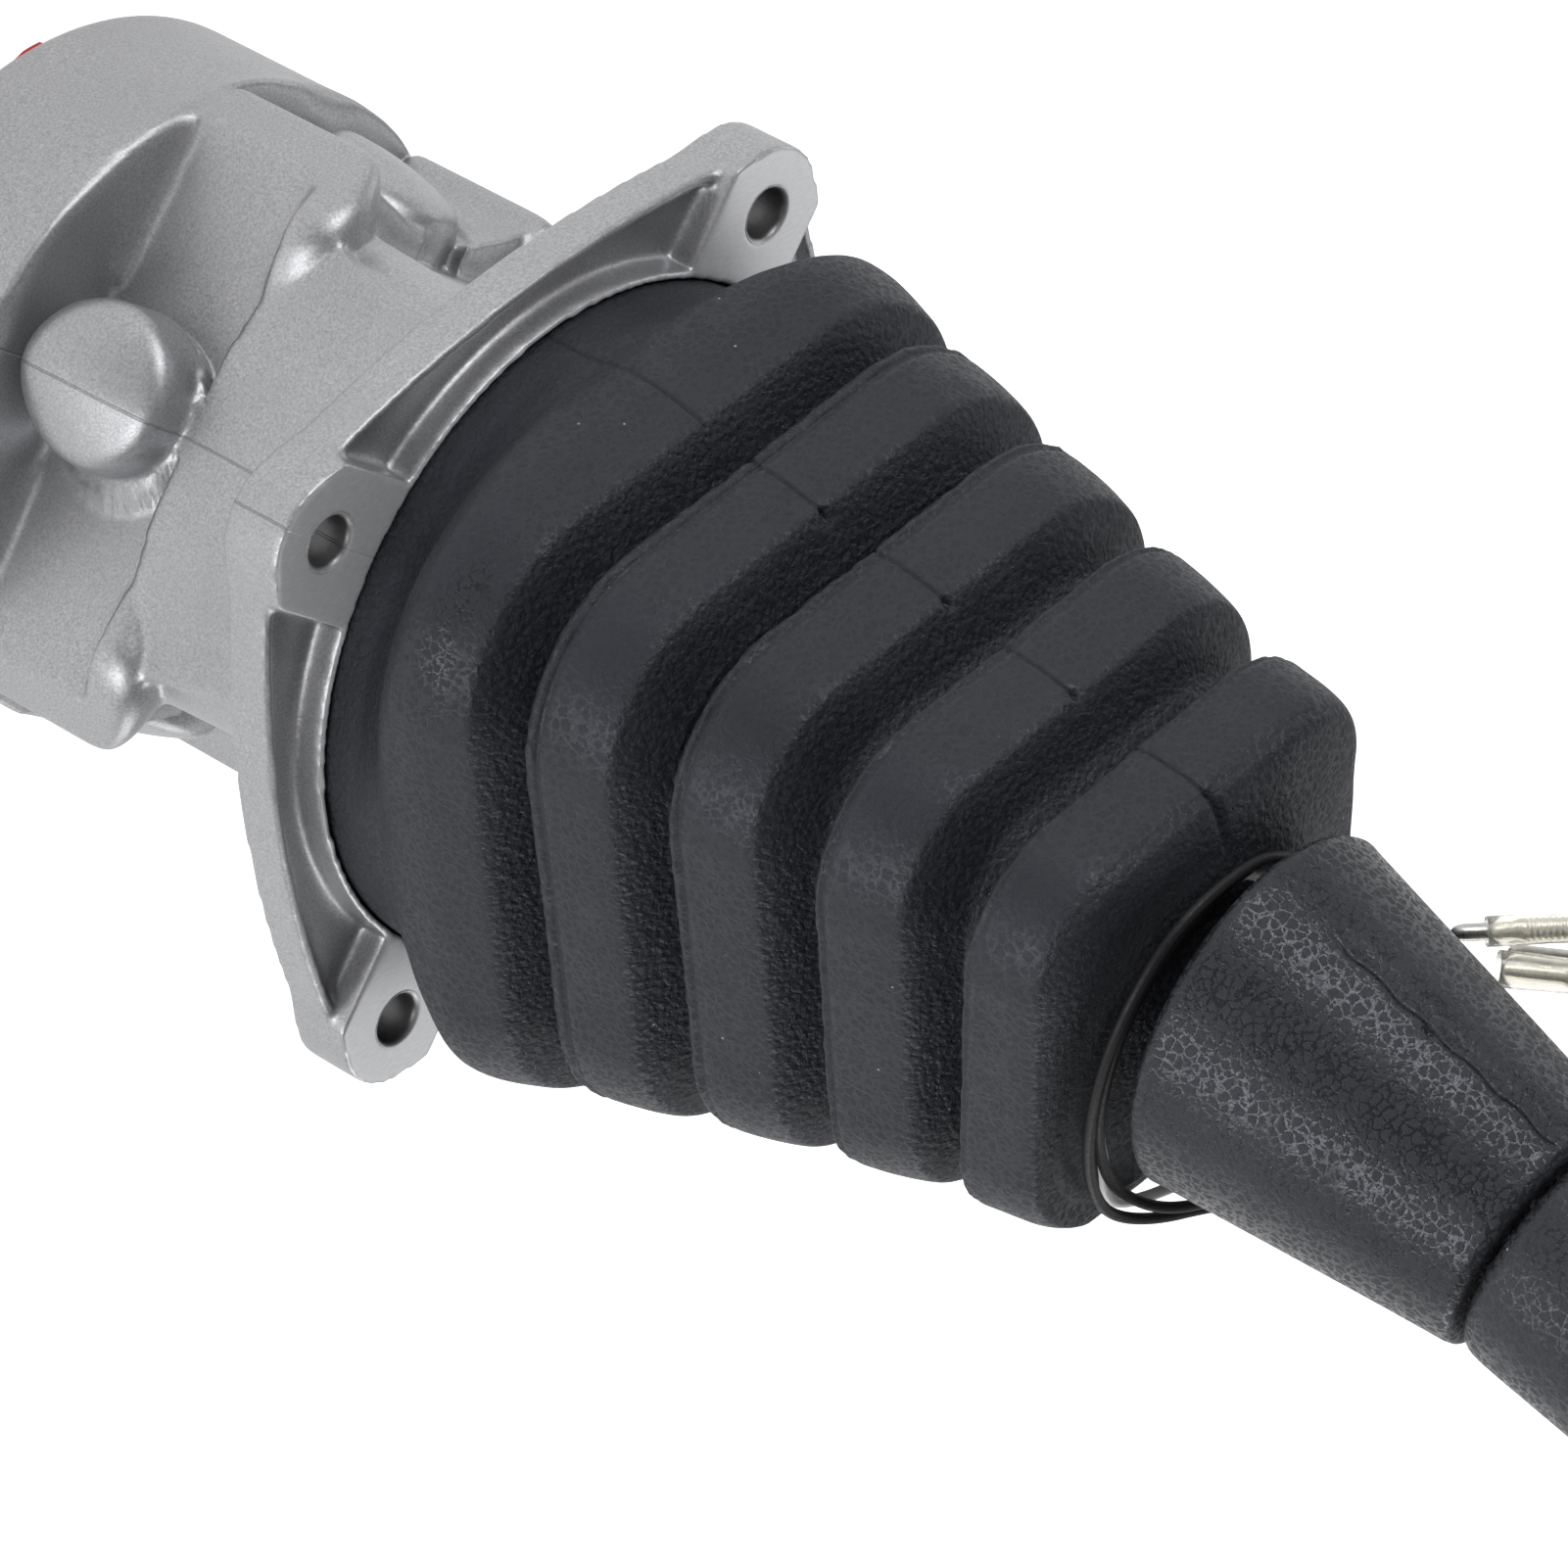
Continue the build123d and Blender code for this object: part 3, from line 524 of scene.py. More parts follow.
def square_reach(angle, share):
    """Distance from the centre to a rounded square of half width 1, at each angle."""
    a = np.abs((angle + math.pi / 4) % (math.pi / 2) - math.pi / 4)
    core = 1 - share
    flat = 1 / np.cos(a)
    b = core * (np.cos(a) + np.sin(a))
    arc = b + np.sqrt(np.maximum(b * b - 2 * core * core + share * share, 0))
    return np.where(np.tan(a) <= core, flat, arc)


def boot_angles():
    """One each degree, and more at the mould's seam."""
    base = np.radians(np.arange(0, 360, 1.0))
    seam = np.radians(90 + np.array([-0.7, -0.45, -0.28, -0.14, 0.14, 0.28, 0.45, 0.7]))
    return np.sort(np.r_[base, seam])


def boot_grid(rows, angles, inset=0.0):
    """A point for each row and angle; the top swells on the side that the grip leans to."""
    z, half, share, lean, shift = rows.T
    reach = np.array([square_reach(angles, s) for s in share])
    r = (half - inset)[:, None] * reach
    x = r * np.cos(angles)
    y = r * np.sin(angles)
    lean = np.radians(lean)[:, None]
    grid = np.stack([x, y * np.cos(lean) + shift[:, None], z[:, None] + y * np.sin(lean)], axis=2)
    swell = np.clip((z[:, None] - 93.0) / 6.0, 0, 1) * np.clip((112.0 - z[:, None]) / 6.0, 0, 1)
    back = np.clip((y + 31.0) / 2.5, 0, 1) * np.clip(-y / 18.0, 0, 1)
    back = back * np.clip(1.5 - np.abs(x) / 22.0, 0, 1)
    grid[:, :, 2] += SWELL * swell * back
    return grid


def grid_normals(grid):
    du = np.roll(grid, -1, axis=1) - np.roll(grid, 1, axis=1)
    dv = np.gradient(grid, axis=0)
    n = np.cross(du, dv)
    return n / np.maximum(np.linalg.norm(n, axis=2, keepdims=True), 1e-9)


def bell(x, centre, width):
    return np.exp(-((x - centre) / width) ** 2)


def value_noise(p, scale, seed):
    """Smooth noise from -1 to 1 at points p in mm, one value for each."""
    q = p / scale
    base = np.floor(q).astype(np.int64)
    f = q - base
    f = f * f * (3 - 2 * f)
    total = np.zeros(p.shape[:-1])
    for corner in range(8):
        bits = np.array([(corner >> i) & 1 for i in range(3)])
        g = base + bits
        h = (g[..., 0] * 73856093) ^ (g[..., 1] * 19349663) ^ (g[..., 2] * 83492791)
        h = h ^ (seed * 2654435761)
        h = (h ^ (h >> 13)) * 1274126177
        v = ((h ^ (h >> 16)) & 0xFFFF) / 32767.5 - 1
        w = np.prod(np.where(bits, f, 1 - f), axis=-1)
        total += v * w
    return total


def boot_detail(grid, rows, angles):
    """How far the skin stands out of the smooth form at each grid point, in mm."""
    z = rows[:, 0][:, None]
    across = grid[:, :, 0]
    facing = (np.abs(np.degrees(angles) - 90) < 40)[None, :]
    out = 0.10 * value_noise(grid, 9.0, 3) + 0.05 * value_noise(grid, 3.5, 4)
    for k in range(1, RIDGES):
        zc = ridge_z(k)
        out = out - 0.5 * bell(z, zc - 4.0, 0.36)
        rough = np.clip(1.5 - np.abs(z - zc + 5.6) / 1.2, 0, 1)
        crumbs = 0.16 * value_noise(grid, 1.3, 5) + 0.10 * value_noise(grid, 0.8, 6) - 0.1
        out = out + rough * crumbs
    wander = 0.22 * value_noise(np.stack([z + 0 * across, 0 * across, 0 * across], axis=2), 6.0, 8)
    on_band = np.zeros_like(across)
    for k in range(RIDGES):
        low = -2.0 if k == 0 else ridge_z(k) - 6.5
        on_band = on_band + ((z > low) & (z < ridge_z(k) + 6.0))
    seam = bell(across, 0.2 + wander, 0.24) * facing * on_band
    out = out - 0.3 * seam
    for k in range(1, RIDGES):
        for x0, dz in ((0.2, -6.6), (-4.5, -6.4), (0.3, 6.2)):
            out = out - bell(across, x0, 0.6) * facing * bell(z, ridge_z(k) + dz, 0.6)
    return out


def boot_piece(name, rows, angles, keep, material):
    """The part of the boot between two heights: a skin with detail and a plain inner wall."""
    grid = boot_grid(rows, angles)
    normals = grid_normals(grid)
    skin = grid + normals * boot_detail(grid, rows, angles)[:, :, None]
    lift = np.clip((normals[:, :, 2] - 0.25) / 0.5, 0, 1)
    use = (rows[:, 0] > keep[0] - 1e-6) & (rows[:, 0] < keep[1] + 1e-6)
    outer, lift = skin[use], lift[use]
    coarse = np.unique(np.r_[np.arange(0, use.sum(), 5), use.sum() - 1])
    inner = boot_grid(rows[use][coarse], angles, WALL)
    cols = len(angles)
    verts = np.r_[outer.reshape(-1, 3), inner.reshape(-1, 3)]
    n, m = len(outer), len(inner)
    faces = grid_faces(n, cols) + grid_faces(m, cols, n * cols, flip=True)
    for j in range(cols):
        k = (j + 1) % cols
        a, b = n * cols + j, n * cols + k
        faces.append((k, j, a, b))
        a, b = (n - 1) * cols + j, (n - 1) * cols + k
        c, d = (n + m - 1) * cols + j, (n + m - 1) * cols + k
        faces.append((a, b, d, c))
    obj = mesh_object(name, verts * MM, faces)
    rest = obj.data.attributes.new("rest", "FLOAT_VECTOR", "POINT")
    rest.data.foreach_set("vector", (verts * MM).astype(np.float32).ravel())
    height = rows[use][:, 0][:, None]
    strip = np.zeros_like(lift)
    glossy = np.zeros_like(lift)
    corner = np.abs(np.degrees(angles) - 140)[None, :]
    for k, weight in enumerate((1.0, 0.5, 0.3, 0.25, 0.2)):
        zc = ridge_z(k)
        if k:
            strip = strip + np.clip(1.6 - np.abs(height - zc + 5.9), 0, 1)
        on_crest = np.clip(1.4 - np.abs(height - zc + 0.5) / 4.0, 0, 1)
        glossy = glossy + weight * on_crest * np.clip(2.0 - corner / 11.0, 0, 1)
    blank = np.zeros(m * cols)
    add_layers(obj.data, slope=np.r_[lift.ravel(), blank], strip=np.r_[strip.ravel(), blank],
               glossy=np.r_[glossy.ravel(), blank])
    dress(obj, material)
    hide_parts("boot")
    return obj


def make_boot():
    """Two halves, which lap where they meet and both follow the cross there."""
    rows = resample(boot_rows(), ROW_STEP)
    angles = boot_angles()
    material = moulded_rubber("boot rubber", (0.0165, 0.0177, 0.0222), 0.5, "rest")
    split = ridge_z(1.5)
    low = boot_piece("boot_low", rows, angles, (-5.0, split + LAP), material)
    high = boot_piece("boot_high", rows, angles, (split - LAP, 200.0), material)
    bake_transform(low)
    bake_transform(high)


# Valve body: the CAD casting with flat sides added and every edge softened. The blocks behind
# the flat sides close its inner bores, so it is solid inside, where no view from outside reaches.

BOLT = 40.0
BOLT_HOLES = ((BOLT, BOLT), (BOLT, -BOLT), (-BOLT, BOLT), (-BOLT, -BOLT))
# radius and height of the liner of a bolt hole: its bore with a chamfer, and its hidden outside
LINER = ((4.05, 0.04), (3.92, 0.0), (3.44, -0.5), (3.42, -1.0), (3.42, -9.5),
         (3.7, -9.5), (3.7, -1.0), (4.05, -0.2), (4.05, 0.04))
# distance from the axis, half width and height range of the flat sides, two below and two above
FACE_TURNS = (135, 315)
FACE_LOW = (26.0, 35.5, -71.0, -45.5)
FACE_NECK = (31.5, 27.5, -46.0, -11.0)
# the middle of what moves with a round boss, seen from its front, and how far it moves aside
BOSS_ASIDE = 2.0
BOSS_Z = -57.5
BOSS_SHIFT = 3.5


def block(name, degrees, reach, half, low, high):
    """A box from near the axis out to a flat side; it runs across the bores between them."""
    a = math.radians(degrees)
    way, across = Vector((math.cos(a), math.sin(a), 0)), Vector((-math.sin(a), math.cos(a), 0))
    verts = [(way * d + across * t + Vector((0, 0, z))) * MM for z in (low, high) for d, t in (
        (5.0, -half), (reach, -half), (reach, half), (5.0, half))]
    sides = [(k, (k + 1) % 4, (k + 1) % 4 + 4, k + 4) for k in range(4)]
    return mesh_object(name, verts, [(3, 2, 1, 0), (4, 5, 6, 7)] + sides)


def join(body, others):
    for obj in others:
        obj.select_set(True)
    body.select_set(True)
    bpy.context.view_layer.objects.active = body
    bpy.ops.object.join()
    body.select_set(False)


def soft_casting():
    source = nodes["valve_body"]
    body = bpy.data.objects.new("casting", source.data.copy())
    bpy.context.scene.collection.objects.link(body)
    for other in bpy.context.selected_objects:
        other.select_set(False)
    join(body, [block("side", turn, *face) for turn in FACE_TURNS for face in (FACE_LOW, FACE_NECK)])
    mod = body.modifiers.new("remesh", "REMESH")
    mod.mode = "VOXEL"
    mod.voxel_size = 0.00055
    dg = bpy.context.evaluated_depsgraph_get()
    mesh = bpy.data.meshes.new_from_object(body.evaluated_get(dg))
    body.modifiers.clear()
    body.data = mesh
    soften(mesh)
    rows = [(r, r, 0.0, z) for r, z in LINER]
    join(body, [rings("bore", rows, 72, Matrix.Translation((x * MM, y * MM, 0))) for x, y in BOLT_HOLES])
    mesh = body.data
    mark_machined(mesh)
    mesh.shade_smooth()
    dress(body, cast_aluminium())
    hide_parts("valve_body")
    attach(body, "root")


def bolt_distance(x, y):
    """Distance in mm to the axis of the nearest bolt hole."""
    return np.hypot(np.abs(x) - BOLT, np.abs(y) - BOLT)


def soften(mesh):
    """Shapes columns and bosses, then rounds the casting: each point moves towards its
    neighbours, less on machined faces."""
    n = len(mesh.vertices)
    co = read_points(mesh, "co").astype(float)
    shape_columns(co)
    shape_bosses(co)
    edges = np.empty(len(mesh.edges) * 2, np.int32)
    mesh.edges.foreach_get("vertices", edges)
    a, b = edges.reshape(-1, 2).T
    count = np.bincount(a, minlength=n) + np.bincount(b, minlength=n)
    x, y, z = (co / MM).T
    radius = np.hypot(x, y)
    hole = bolt_distance(x, y) < 4.6
    inside = (z > -65) & (radius < 34) & (z < 1)
    bottom = z < -94.5
    weight = np.where(hole | inside | bottom, 0.12, np.where(z > -1.2, 0.35, 0.8))
    for _ in range(10):
        mean = np.empty_like(co)
        for c in range(3):
            mean[:, c] = (np.bincount(a, co[b, c], n) + np.bincount(b, co[a, c], n)) / count
        co += weight[:, None] * 0.5 * (mean - co)
    move_points(mesh, co)


def turned(co, degrees):
    """Distances in mm along and across a direction at this angle."""
    a = math.radians(degrees)
    along = (co[:, 0] * math.cos(a) + co[:, 1] * math.sin(a)) / MM
    aside = (co[:, 1] * math.cos(a) - co[:, 0] * math.sin(a)) / MM
    return along, aside


def move_turned(co, degrees, along, aside):
    """Moves each point by these amounts in mm along and across that direction."""
    a = math.radians(degrees)
    co[:, 0] += (along * math.cos(a) - aside * math.sin(a)) * MM
    co[:, 1] += (along * math.sin(a) + aside * math.cos(a)) * MM


def shape_bosses(co):
    """Domes the round bosses' ends and gives them draft to both sides of their middle."""
    z = co[:, 2] / MM
    for turn in (45, 135, 225, 315):
        along, aside = turned(co, turn)
        reach = np.hypot(aside - BOSS_ASIDE, z - BOSS_Z)
        near = np.clip((along - 33.0) / 9.0, 0, 1) * np.clip((14.0 - reach) / 1.5, 0, 1)
        off = aside - BOSS_SHIFT
        push = near * (0.014 * reach ** 2 + np.where(off < 0, 0.04 * np.abs(off), 0.2 * off))
        move = BOSS_SHIFT * np.clip((along - 26.0) / 4.0, 0, 1) * np.clip((17.0 - reach) / 5.0, 0, 1)
        move_turned(co, turn, -push, -move)


def shape_columns(co):
    """Leans the columns over and cuts them off at the flat sides."""
    z = co[:, 2] / MM
    window = np.clip((z + 73.0) / 4.0, 0, 1) * np.clip((-26.0 - z) / 18.0, 0, 1)
    for turn, side in ((0, -1), (90, 1), (180, -1), (270, 1)):
        along, aside = turned(co, turn)
        v = aside * side
        lean = np.interp(along, (30.0, 45.0), (0.0, 8.0))
        shift = lean * np.clip((v + 34.0) / 24.0, 0, 1) * np.clip((17.0 - v) / 7.0, 0, 1)
        move_turned(co, turn, np.zeros_like(z), -shift * window * side)
    for turn in FACE_TURNS:
        along, aside = turned(co, turn)
        boss = np.hypot(aside - BOSS_ASIDE, z - BOSS_Z) < 12.2
        low = FACE_LOW[0] + 0.03 * np.clip(z + 70.0, 0, 24)
        share = np.clip((z + 46.5) / 0.9, 0, 1)
        flat = low + (FACE_NECK[0] - low) * share
        inside = (z > -69.4) & (z < -12.5) & ~boss & (np.abs(aside) < 46)
        over = np.where(inside, np.maximum(along - flat, 0.0), 0.0)
        over = over * np.clip((-12.5 - z) / 3.0, 0, 1)
        move_turned(co, turn, -over, np.zeros_like(z))


def mark_machined(mesh):
    """Point attributes for the milled pads and the drilled bolt holes, whose bores get painted shade."""
    x, y, z = (read_points(mesh, "co") / MM).T
    up = read_points(mesh, "normal")[:, 2]
    # Mask of the bolt holes' bores, where the casting gets painted shade.
    bore = np.clip((3.75 - bolt_distance(x, y)) / 0.3, 0, 1)
    pad = np.clip((z + 0.7) / 0.3, 0, 1) * np.clip((up - 0.7) / 0.2, 0, 1) * (1 - bore)
    add_layers(mesh, milled=pad, bore=bore)


# Grip: skirt and body

SKIRT_START = 16.2
SKIRT_END = 61.7
SKIRT_WIDE = 24.35
SKIRT_NARROW = 16.85
MOUTH_TILT = 0.17
SEAM_DEG = 92.0
# degrees from the seam at which the skirt's mesh has more columns
SEAM_FINE = (-3.2, -2.6, -2.0, -1.5, -1.1, -0.8, -0.5, -0.25, 0.0, 0.25, 0.5, 0.8, 1.1, 1.5, 2.0)


def skin(name, profile, angles, detail, place):
    """Closed ring of radius and height points in mm, turned about z and moved by detail."""
    verts = []
    for r, z in profile:
        rr, zz = detail(np.full(len(angles), r), np.full(len(angles), z), angles)
        verts.append(np.stack([rr * np.cos(angles), rr * np.sin(angles), zz], axis=1))
    rows, cols = len(profile), len(angles)
    faces = grid_faces(rows, cols)
    for j in range(cols):
        k = (j + 1) % cols
        faces.append(((rows - 1) * cols + j, (rows - 1) * cols + k, k, j))
    obj = mesh_object(name, np.concatenate(verts) * MM, faces)
    obj.data.transform(place)
    return obj


def skirt_detail(r, z, angles):
    """The skirt's seam, its small hole and the tilt of its mouth."""
    seam_at = math.radians(SEAM_DEG)
    arc = (angles - seam_at) * r
    outer = r > 13.0
    window = np.clip((z - 26.0) / 3.0, 0, 1) * np.clip((60.5 - z) / 1.5, 0, 1) * outer
    groove = 0.42 * bell(arc, 0.25 * np.sin(z * 0.9), 0.22)
    groove = groove + 0.16 * np.clip(1 - np.abs(arc + 1.6) / 1.6, 0, 1)
    hole = 0.9 * bell(arc, 0.3, 0.45) * bell(z, 41.0, 0.45)
    rr = r - window * groove - hole * outer
    fall = np.clip((SKIRT_END - 8.0 - z) / (SKIRT_END - 8.0 - SKIRT_START), 0, 1.1)
    return rr, z - MOUTH_TILT * r * np.sin(angles) * fall


def make_grip():
    material = moulded_rubber("grip rubber", (0.027, 0.0275, 0.032), 1.0)
    profile = [(SKIRT_WIDE - 3.0, SKIRT_START + 1.2), (SKIRT_WIDE - 2.6, SKIRT_START + 0.25),
               (SKIRT_WIDE - 1.6, SKIRT_START), (SKIRT_WIDE - 0.7, SKIRT_START + 0.35),
               (SKIRT_WIDE - 0.15, SKIRT_START + 1.2)]
    steps = 100
    for k in range(steps + 1):
        u = 0.05 + 0.92 * k / steps
        profile.append((SKIRT_WIDE + (SKIRT_NARROW - SKIRT_WIDE) * u,
                        SKIRT_START + (SKIRT_END - SKIRT_START) * u))
    profile += [(SKIRT_NARROW - 0.1, SKIRT_END - 0.5), (SKIRT_NARROW - 0.7, SKIRT_END - 0.1),
                (SKIRT_NARROW - 1.6, SKIRT_END), (6.1, SKIRT_END), (6.1, SKIRT_END - 4.0),
                (SKIRT_NARROW - 3.2, SKIRT_END - 4.0)]
    angles = np.radians(np.sort(np.r_[np.arange(0, 360, 1.2), SEAM_DEG + np.array(SEAM_FINE) + 0.07]))
    skirt = skin("skirt", profile, angles, skirt_detail, GRIP)
    dress(skirt, material)
    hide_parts("grip_skirt")
    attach(skirt, "lever")
    make_grip_body(material)


# height, half width across x, half width across y, shift along y
GRIP_ROWS = ((62.2, 13.6, 13.6, 0.0), (62.3, 14.6, 14.6, 0.0), (63.0, 15.6, 15.6, 0.0),
             (64.6, 16.2, 16.25, 0.0), (72.0, 16.5, 16.7, 0.1), (80.0, 16.6, 17.2, 0.2),
             (90.0, 16.4, 17.9, 0.5), (100.0, 16.2, 18.4, 0.8), (118.0, 16.0, 18.2, 1.0),
             (134.0, 16.8, 18.4, 0.4), (148.0, 18.6, 20.5, -1.2), (155.0, 19.1, 21.2, -1.8),
             (160.0, 18.7, 20.6, -1.9), (164.4, 17.0, 18.8, -1.8), (166.9, 14.4, 15.9, -1.7),
             (168.0, 11.6, 12.6, -1.2), (168.0, 8.6, 9.0, -0.4), (167.6, 7.6, 7.6, 0.0),
             (166.8, 7.0, 7.0, 0.0), (165.0, 6.85, 6.85, 0.0))


def make_grip_body(material):
    """The lever's blind bore from below, the outside, and the button's well from above."""
    skin_rows = [(0.0, 0.0, 0.0, 121.9), (6.03, 6.03, 0.0, 121.9), (6.03, 6.03, 0.0, 62.4),
                 (9.0, 9.0, 0.0, 62.2)]
    skin_rows += [(rx, ry, shift, z) for z, rx, ry, shift in resample(GRIP_ROWS, 0.8)]
    skin_rows += [(6.82, 6.82, 0.0, 160.0), (6.82, 6.82, 0.0, 144.6), (0.0, 0.0, 0.0, 144.6)]
    body = rings("grip", skin_rows, 240, GRIP)
    seam_line(body, 0.26, 0.3)
    dress(body, material)
    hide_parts("grip_body")
    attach(body, "lever")


def seam_line(obj, depth, width):
    """Presses the mould's parting line, the plane x = 0, into the outside of a skin."""
    co, normals = read_points(obj.data, "co"), read_points(obj.data, "normal")
    outside = np.hypot(co[:, 0], co[:, 1] + np.tan(LEAN) * (co[:, 2] - BEND * MM)) > 10 * MM
    push = depth * MM * bell(co[:, 0] / MM, 0.0, width) * outside
    move_points(obj.data, co - normals * push[:, None])


# Leads

# bullet tip, its aim, and the sleeve's outer radius, start and length
ENDS = {"black": ((31.3, -2.2, 31.5), (0.645, 0.0, 0.764), 1.9, 9.0, 14.0),
        "black_two": ((25.4, 1.8, 26.2), (0.729, 0.09, 0.679), 1.9, 4.4, 16.0),
        "white": ((26.2, 1.4, 33.8), (0.645, 0.0, 0.764), 2.3, -0.5, 17.0)}
BULLET = 24.0
ROUTES = {
    "black": [
        (5.5, 9.5, 57.7), (5.5, 9.5, 45), (7.5, 13, 30), (8.6, 17.6, 17), (4.3, 22.6, 10.8),
        (-5.5, 23.9, 10.2), (-15, 22.6, 10.5), (-22, 14.6, 11.2), (-24.9, 3.6, 11.9),
        (-24.9, -8.5, 12.6), (-23.2, -18, 13.7), (-20.2, -25.6, 15.4), (-14.6, -28.7, 18.7),
        (-6.6, -30, 21.9), (2.6, -30, 28), (9.2, -25.2, 38), (12.3, -19.6, 51), (11.4, -16.9, 67),
        (10.1, -15.1, 85), (10.1, -15.1, 104), (12.5, -16.5, 114), (19, -15.5, 121),
        (28.5, -13, 123), (38, -10, 118), (45.5, -6.5, 107), (50.2, -4, 94), (52.3, -3.4, 80.5),
        (53.6, -2.6, 67)],
    "black_two": [
        (9, 6.3, 57.7), (9, 6.3, 45), (11.6, 9.8, 30), (12.6, 14.2, 17.3), (6.3, 20.4, 10),
        (-3.9, 22, 9.9), (-13.3, 19.8, 10.2), (-19.8, 11.5, 10.6), (-22.2, 1.2, 11.3),
        (-22, -9.5, 11.9), (-19.6, -18.5, 12.6), (-17.7, -24.0, 14.7), (-13.6, -26.8, 19.6),
        (-5, -28.4, 23), (5, -26.9, 29.5), (12.4, -22.3, 38.5), (14.8, -17.2, 51),
        (13.8, -14.7, 66), (12.3, -13.2, 83), (12.3, -13.2, 102), (14.8, -13.9, 111.4),
        (21, -13, 117.5), (29.5, -10, 118.5), (38, -6, 113.5), (45, -1.5, 103), (49.8, 2.5, 89),
        (52.6, 4.4, 75), (53.2, 5, 62)],
    "white": [
        (2, 10.6, 57.7), (2, 10.6, 45), (3.4, 13.4, 30), (5.6, 16.6, 16.5), (2, 19.4, 9.4),
        (-3, 20.7, 9.35), (-12.4, 18.5, 9.65), (-18.9, 10.2, 10.05), (-21.3, -0.1, 10.75),
        (-21.1, -10.8, 11.35), (-18.9, -19.5, 12.6), (-18.4, -26.3, 13.9), (-13.8, -28.6, 15.6),
        (-7.4, -27, 18.5), (-1, -26.3, 22), (5, -23.7, 31), (8.5, -20.8, 43), (9, -18.8, 57),
        (8.2, -17.2, 71), (7.6, -16.7, 87), (7.6, -16.7, 103), (10.5, -19, 113), (17.5, -19, 123),
        (27.5, -17.5, 127), (37.5, -15, 122), (45.5, -11.5, 111), (51, -7, 98), (55.5, -3.5, 84.5),
        (54.8, 0.6, 72)]}
LEAD_D = 0.0015


def tip_and_aim(name):
    return Vector(ENDS[name][0]), Vector(ENDS[name][1]).normalized()


def end_place(name):
    tip, aim = tip_and_aim(name)
    return GRIP @ Matrix.Translation(tip * MM) @ aim.to_track_quat("Z", "Y").to_matrix().to_4x4()


def sleeve(name, material):
    """Clear tube pushed over the pin, a little uneven along its length."""
    outer, start, length = ENDS[name][2:]
    wave = (0.0, 0.05, 0.02, -0.06, -0.1, -0.05, 0.03, 0.06, 0.0)
    rows = []
    for side, wall in ((1, 0.0), (-1, 0.3)):
        for k, w in enumerate(wave[::side]):
            u = k / (len(wave) - 1)
            z = start + length * (u if side > 0 else 1 - u)
            rows.append((outer + w - wall, outer + w - wall, 0.0, z))
    rows.append(rows[0])
    tube = rings("tube_" + name, rows, 48, end_place(name))
    dress(tube, material)
    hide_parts("sleeve_" + name)
    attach(tube, "lever")
    return tube


def terminal(name, material):
    """Pin with a rounded tip, a ribbed barrel and a crimped neck."""
    rows = [(0.0, 0.0), (0.42, 0.03), (0.74, 0.3), (0.98, 0.85), (1.08, 1.6), (1.1, 3.0),
            (1.1, 7.6), (1.2, 7.9), (1.42, 8.6), (1.45, 8.9)]
    for k in range(8):
        z = 9.3 + 0.78 * k
        rows += [(1.45, z), (1.3, z + 0.12), (1.3, z + 0.34), (1.45, z + 0.46)]
    rows += [(1.42, 15.6), (1.2, 16.3), (1.2, 18.0), (1.33, 18.6), (1.35, 19.4), (1.2, 19.8),
             (1.2, 20.4), (1.35, 20.8), (1.35, 22.2), (1.22, 22.6), (1.22, 23.0), (1.33, 23.4),
             (1.2, 23.95), (0.0, BULLET)]
    pin = rings("pin_" + name, [(r, r, 0.0, z) for r, z in rows], 40, end_place(name))
    dress(pin, material)
    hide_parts("terminal_" + name)
    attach(pin, "lever")
    return pin


def lead(name, material, on_end):
    tip, aim = tip_and_aim(name)
    points = [grip_point(*p) for p in ROUTES[name]]
    points += [grip_point(*(tip + aim * (BULLET + run))) for run in (8.0, 0.0)]
    data = bpy.data.curves.new("cord_" + name, "CURVE")
    data.dimensions = "3D"
    data.bevel_depth = LEAD_D / 2
    data.bevel_resolution = 4
    data.resolution_u = 10
    data.use_fill_caps = True
    spline = data.splines.new("NURBS")
    spline.points.add(len(points) - 1)
    for spot, p in zip(spline.points, points):
        spot.co = (*p, 1)
    spline.order_u = 3
    spline.use_endpoint_u = True
    cord = bpy.data.objects.new("cord_" + name, data)
    bpy.context.scene.collection.objects.link(cord)
    data.materials.append(material)
    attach(cord, "lever")
    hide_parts("lead_" + name)


def make_leads():
    black = smooth_rubber("black sheath", (0.010, 0.010, 0.012), 0.5, 0.3)
    white = smooth_rubber("white sheath", (0.8, 0.8, 0.78), 0.4)
    tin = turned_steel("tinned metal", (0.60, 0.59, 0.55), 0.3)
    clear = clear_sleeve()
    for name in ROUTES:
        lead(name, white if name == "white" else black, [terminal(name, tin), sleeve(name, clear)])


# The other pieces keep their CAD shape

def dress_nodes():
    steel = turned_steel("ground steel", (0.56, 0.57, 0.58), 0.28)
    zinc = turned_steel("zinc plated steel", (0.66, 0.67, 0.68), 0.34)
    wire = turned_steel("spring wire", (0.40, 0.40, 0.41), 0.36)
    seal = smooth_rubber("seal rubber", (0.025, 0.025, 0.026), 0.5)
    red = plastic("red plastic", (0.62, 0.04, 0.03), 0.4)
    black = plastic("black plastic", (0.04, 0.04, 0.042), 0.42)
    grey = plastic("switch plastic", (0.08, 0.08, 0.085), 0.45)
    by_slot = {"steel": steel, "zinc_steel": zinc, "spring_steel": wire, "black_rubber": seal,
               "red_plastic": red, "button_plastic": red, "tie_plastic": black, "switch_plastic": grey}
    for row in frame["record"]["subparts"]:
        if row["material_slot"] in by_slot:
            dress(nodes[row["node"]], by_slot[row["material_slot"]])


# Floor and light

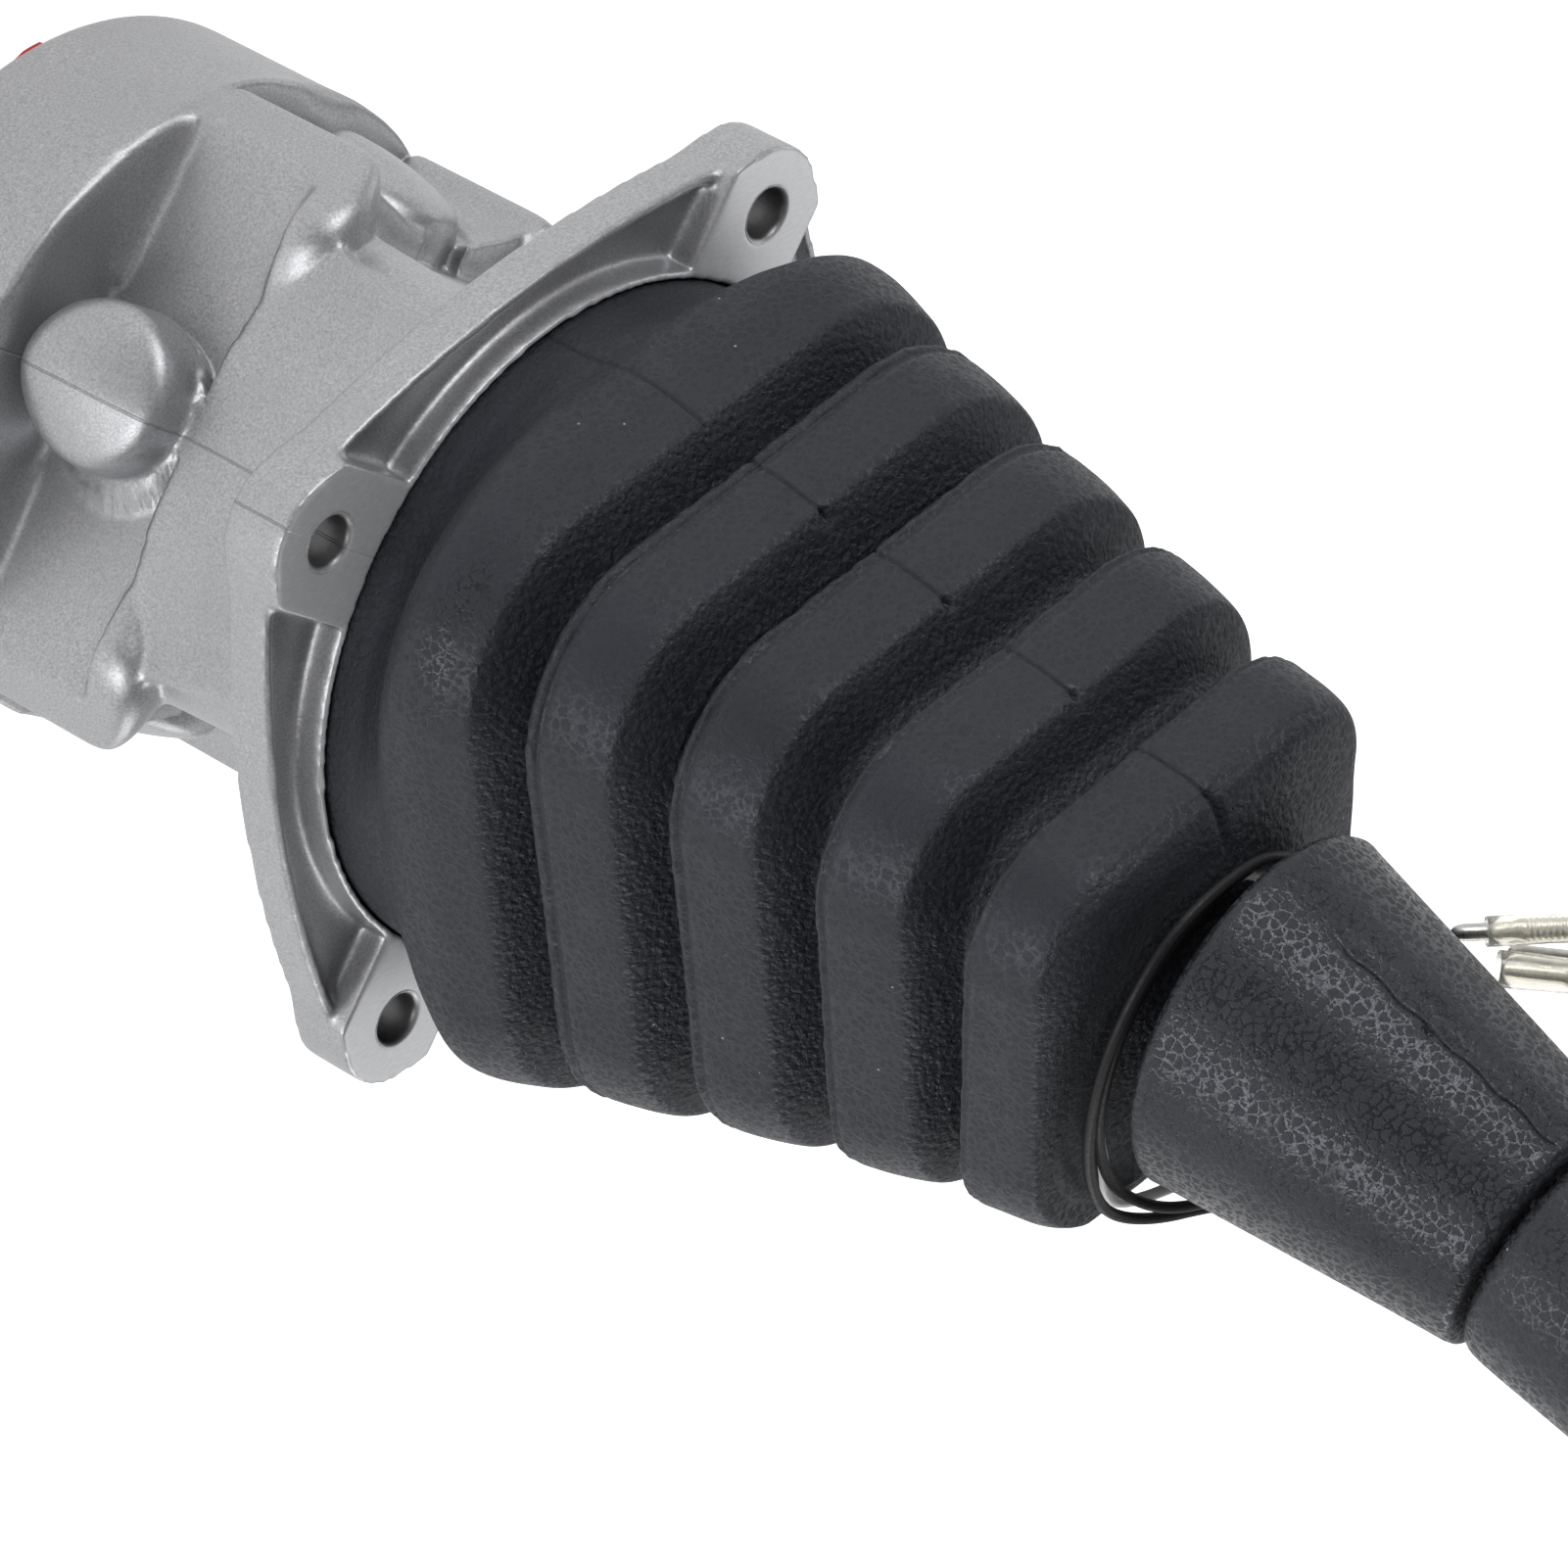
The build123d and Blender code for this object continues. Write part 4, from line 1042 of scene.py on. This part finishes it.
def softbox(name, azimuth, elevation, distance, size, level):
    """A rectangular lamp that gives a facing white surface this level, where 1 renders white."""
    a, e = math.radians(azimuth), math.radians(elevation)
    target = Vector((0, 0, 0.05))
    way = Vector((math.cos(a) * math.cos(e), math.sin(a) * math.cos(e), math.sin(e)))
    data = bpy.data.lights.new(name, "AREA")
    data.shape = "RECTANGLE"
    data.size, data.size_y = size
    data.energy = level * math.pi ** 2 * distance ** 2
    lamp = bpy.data.objects.new(name, data)
    lamp.location = target + way * distance
    lamp.rotation_mode = "QUATERNION"
    lamp.rotation_quaternion = way.to_track_quat("Z", "Y")
    lamp.visible_camera = False
    bpy.context.scene.collection.objects.link(lamp)


def make_lights():
    softbox("key", 80, 20, 0.9, (0.4, 0.35), 0.43)
    softbox("side", 172, 7, 0.9, (0.4, 0.35), 0.43)
    softbox("back", -52, 40, 1.1, (1.3, 1.3), 0.4)
    softbox("rear", -110, 12, 1.0, (0.6, 0.5), 0.3)
    softbox("right", 10, 12, 1.0, (0.6, 0.5), 0.14)


def camera_or_mirror(tree):
    """Two outputs: seen by the camera, straight or through glass, and seen in a reflection."""
    path = tree.nodes.new("ShaderNodeLightPath")
    first = tree.nodes.new("ShaderNodeMath")
    first.operation = "MAXIMUM"
    tree.links.new(path.outputs["Is Camera Ray"], first.inputs[0])
    tree.links.new(path.outputs["Is Transmission Ray"], first.inputs[1])
    return first.outputs[0], path.outputs["Is Glossy Ray"]


def make_floor():
    low = float(cad_box[0][2]) - 0.0008
    size = 3.0
    verts = [(-size, -size, low), (size, -size, low), (size, size, low), (-size, size, low)]
    floor = mesh_object("floor", verts, [(0, 1, 2, 3)], smooth=False)
    mat = bpy.data.materials.new("pale floor")
    mat.use_nodes = True
    tree = mat.node_tree
    bsdf = tree.nodes["Principled BSDF"]
    bsdf.inputs["Base Color"].default_value = (0.9, 0.9, 0.9, 1)
    bsdf.inputs["Roughness"].default_value = 0.9
    bsdf.inputs["Emission Color"].default_value = (1, 1, 1, 1)
    seen, mirrored = camera_or_mirror(tree)
    strength = tree.nodes.new("ShaderNodeMath")
    strength.operation = "MULTIPLY_ADD"
    strength.inputs[1].default_value = 0.8
    tree.links.new(seen, strength.inputs[0])
    gloss = tree.nodes.new("ShaderNodeMath")
    gloss.operation = "MULTIPLY"
    gloss.inputs[1].default_value = 0.4
    tree.links.new(mirrored, gloss.inputs[0])
    tree.links.new(gloss.outputs[0], strength.inputs[2])
    tree.links.new(strength.outputs[0], bsdf.inputs["Emission Strength"])
    floor.data.materials.append(mat)


def make_world():
    world = bpy.data.worlds.new("studio")
    bpy.context.scene.world = world
    world.use_nodes = True
    tree = world.node_tree
    back = tree.nodes["Background"]
    back.inputs["Color"].default_value = (1, 1, 1, 1)
    seen = camera_or_mirror(tree)[0]
    strength = tree.nodes.new("ShaderNodeMapRange")
    strength.inputs["To Min"].default_value = 0.125
    strength.inputs["To Max"].default_value = 1.0
    tree.links.new(seen, strength.inputs["Value"])
    tree.links.new(strength.outputs[0], back.inputs["Strength"])


def finish_view():
    bpy.context.scene.view_settings.view_transform = "Standard"


make_camera()
make_leads()
make_boot()
soft_casting()
make_grip()
dress_nodes()
make_floor()
make_lights()
make_world()
finish_view()
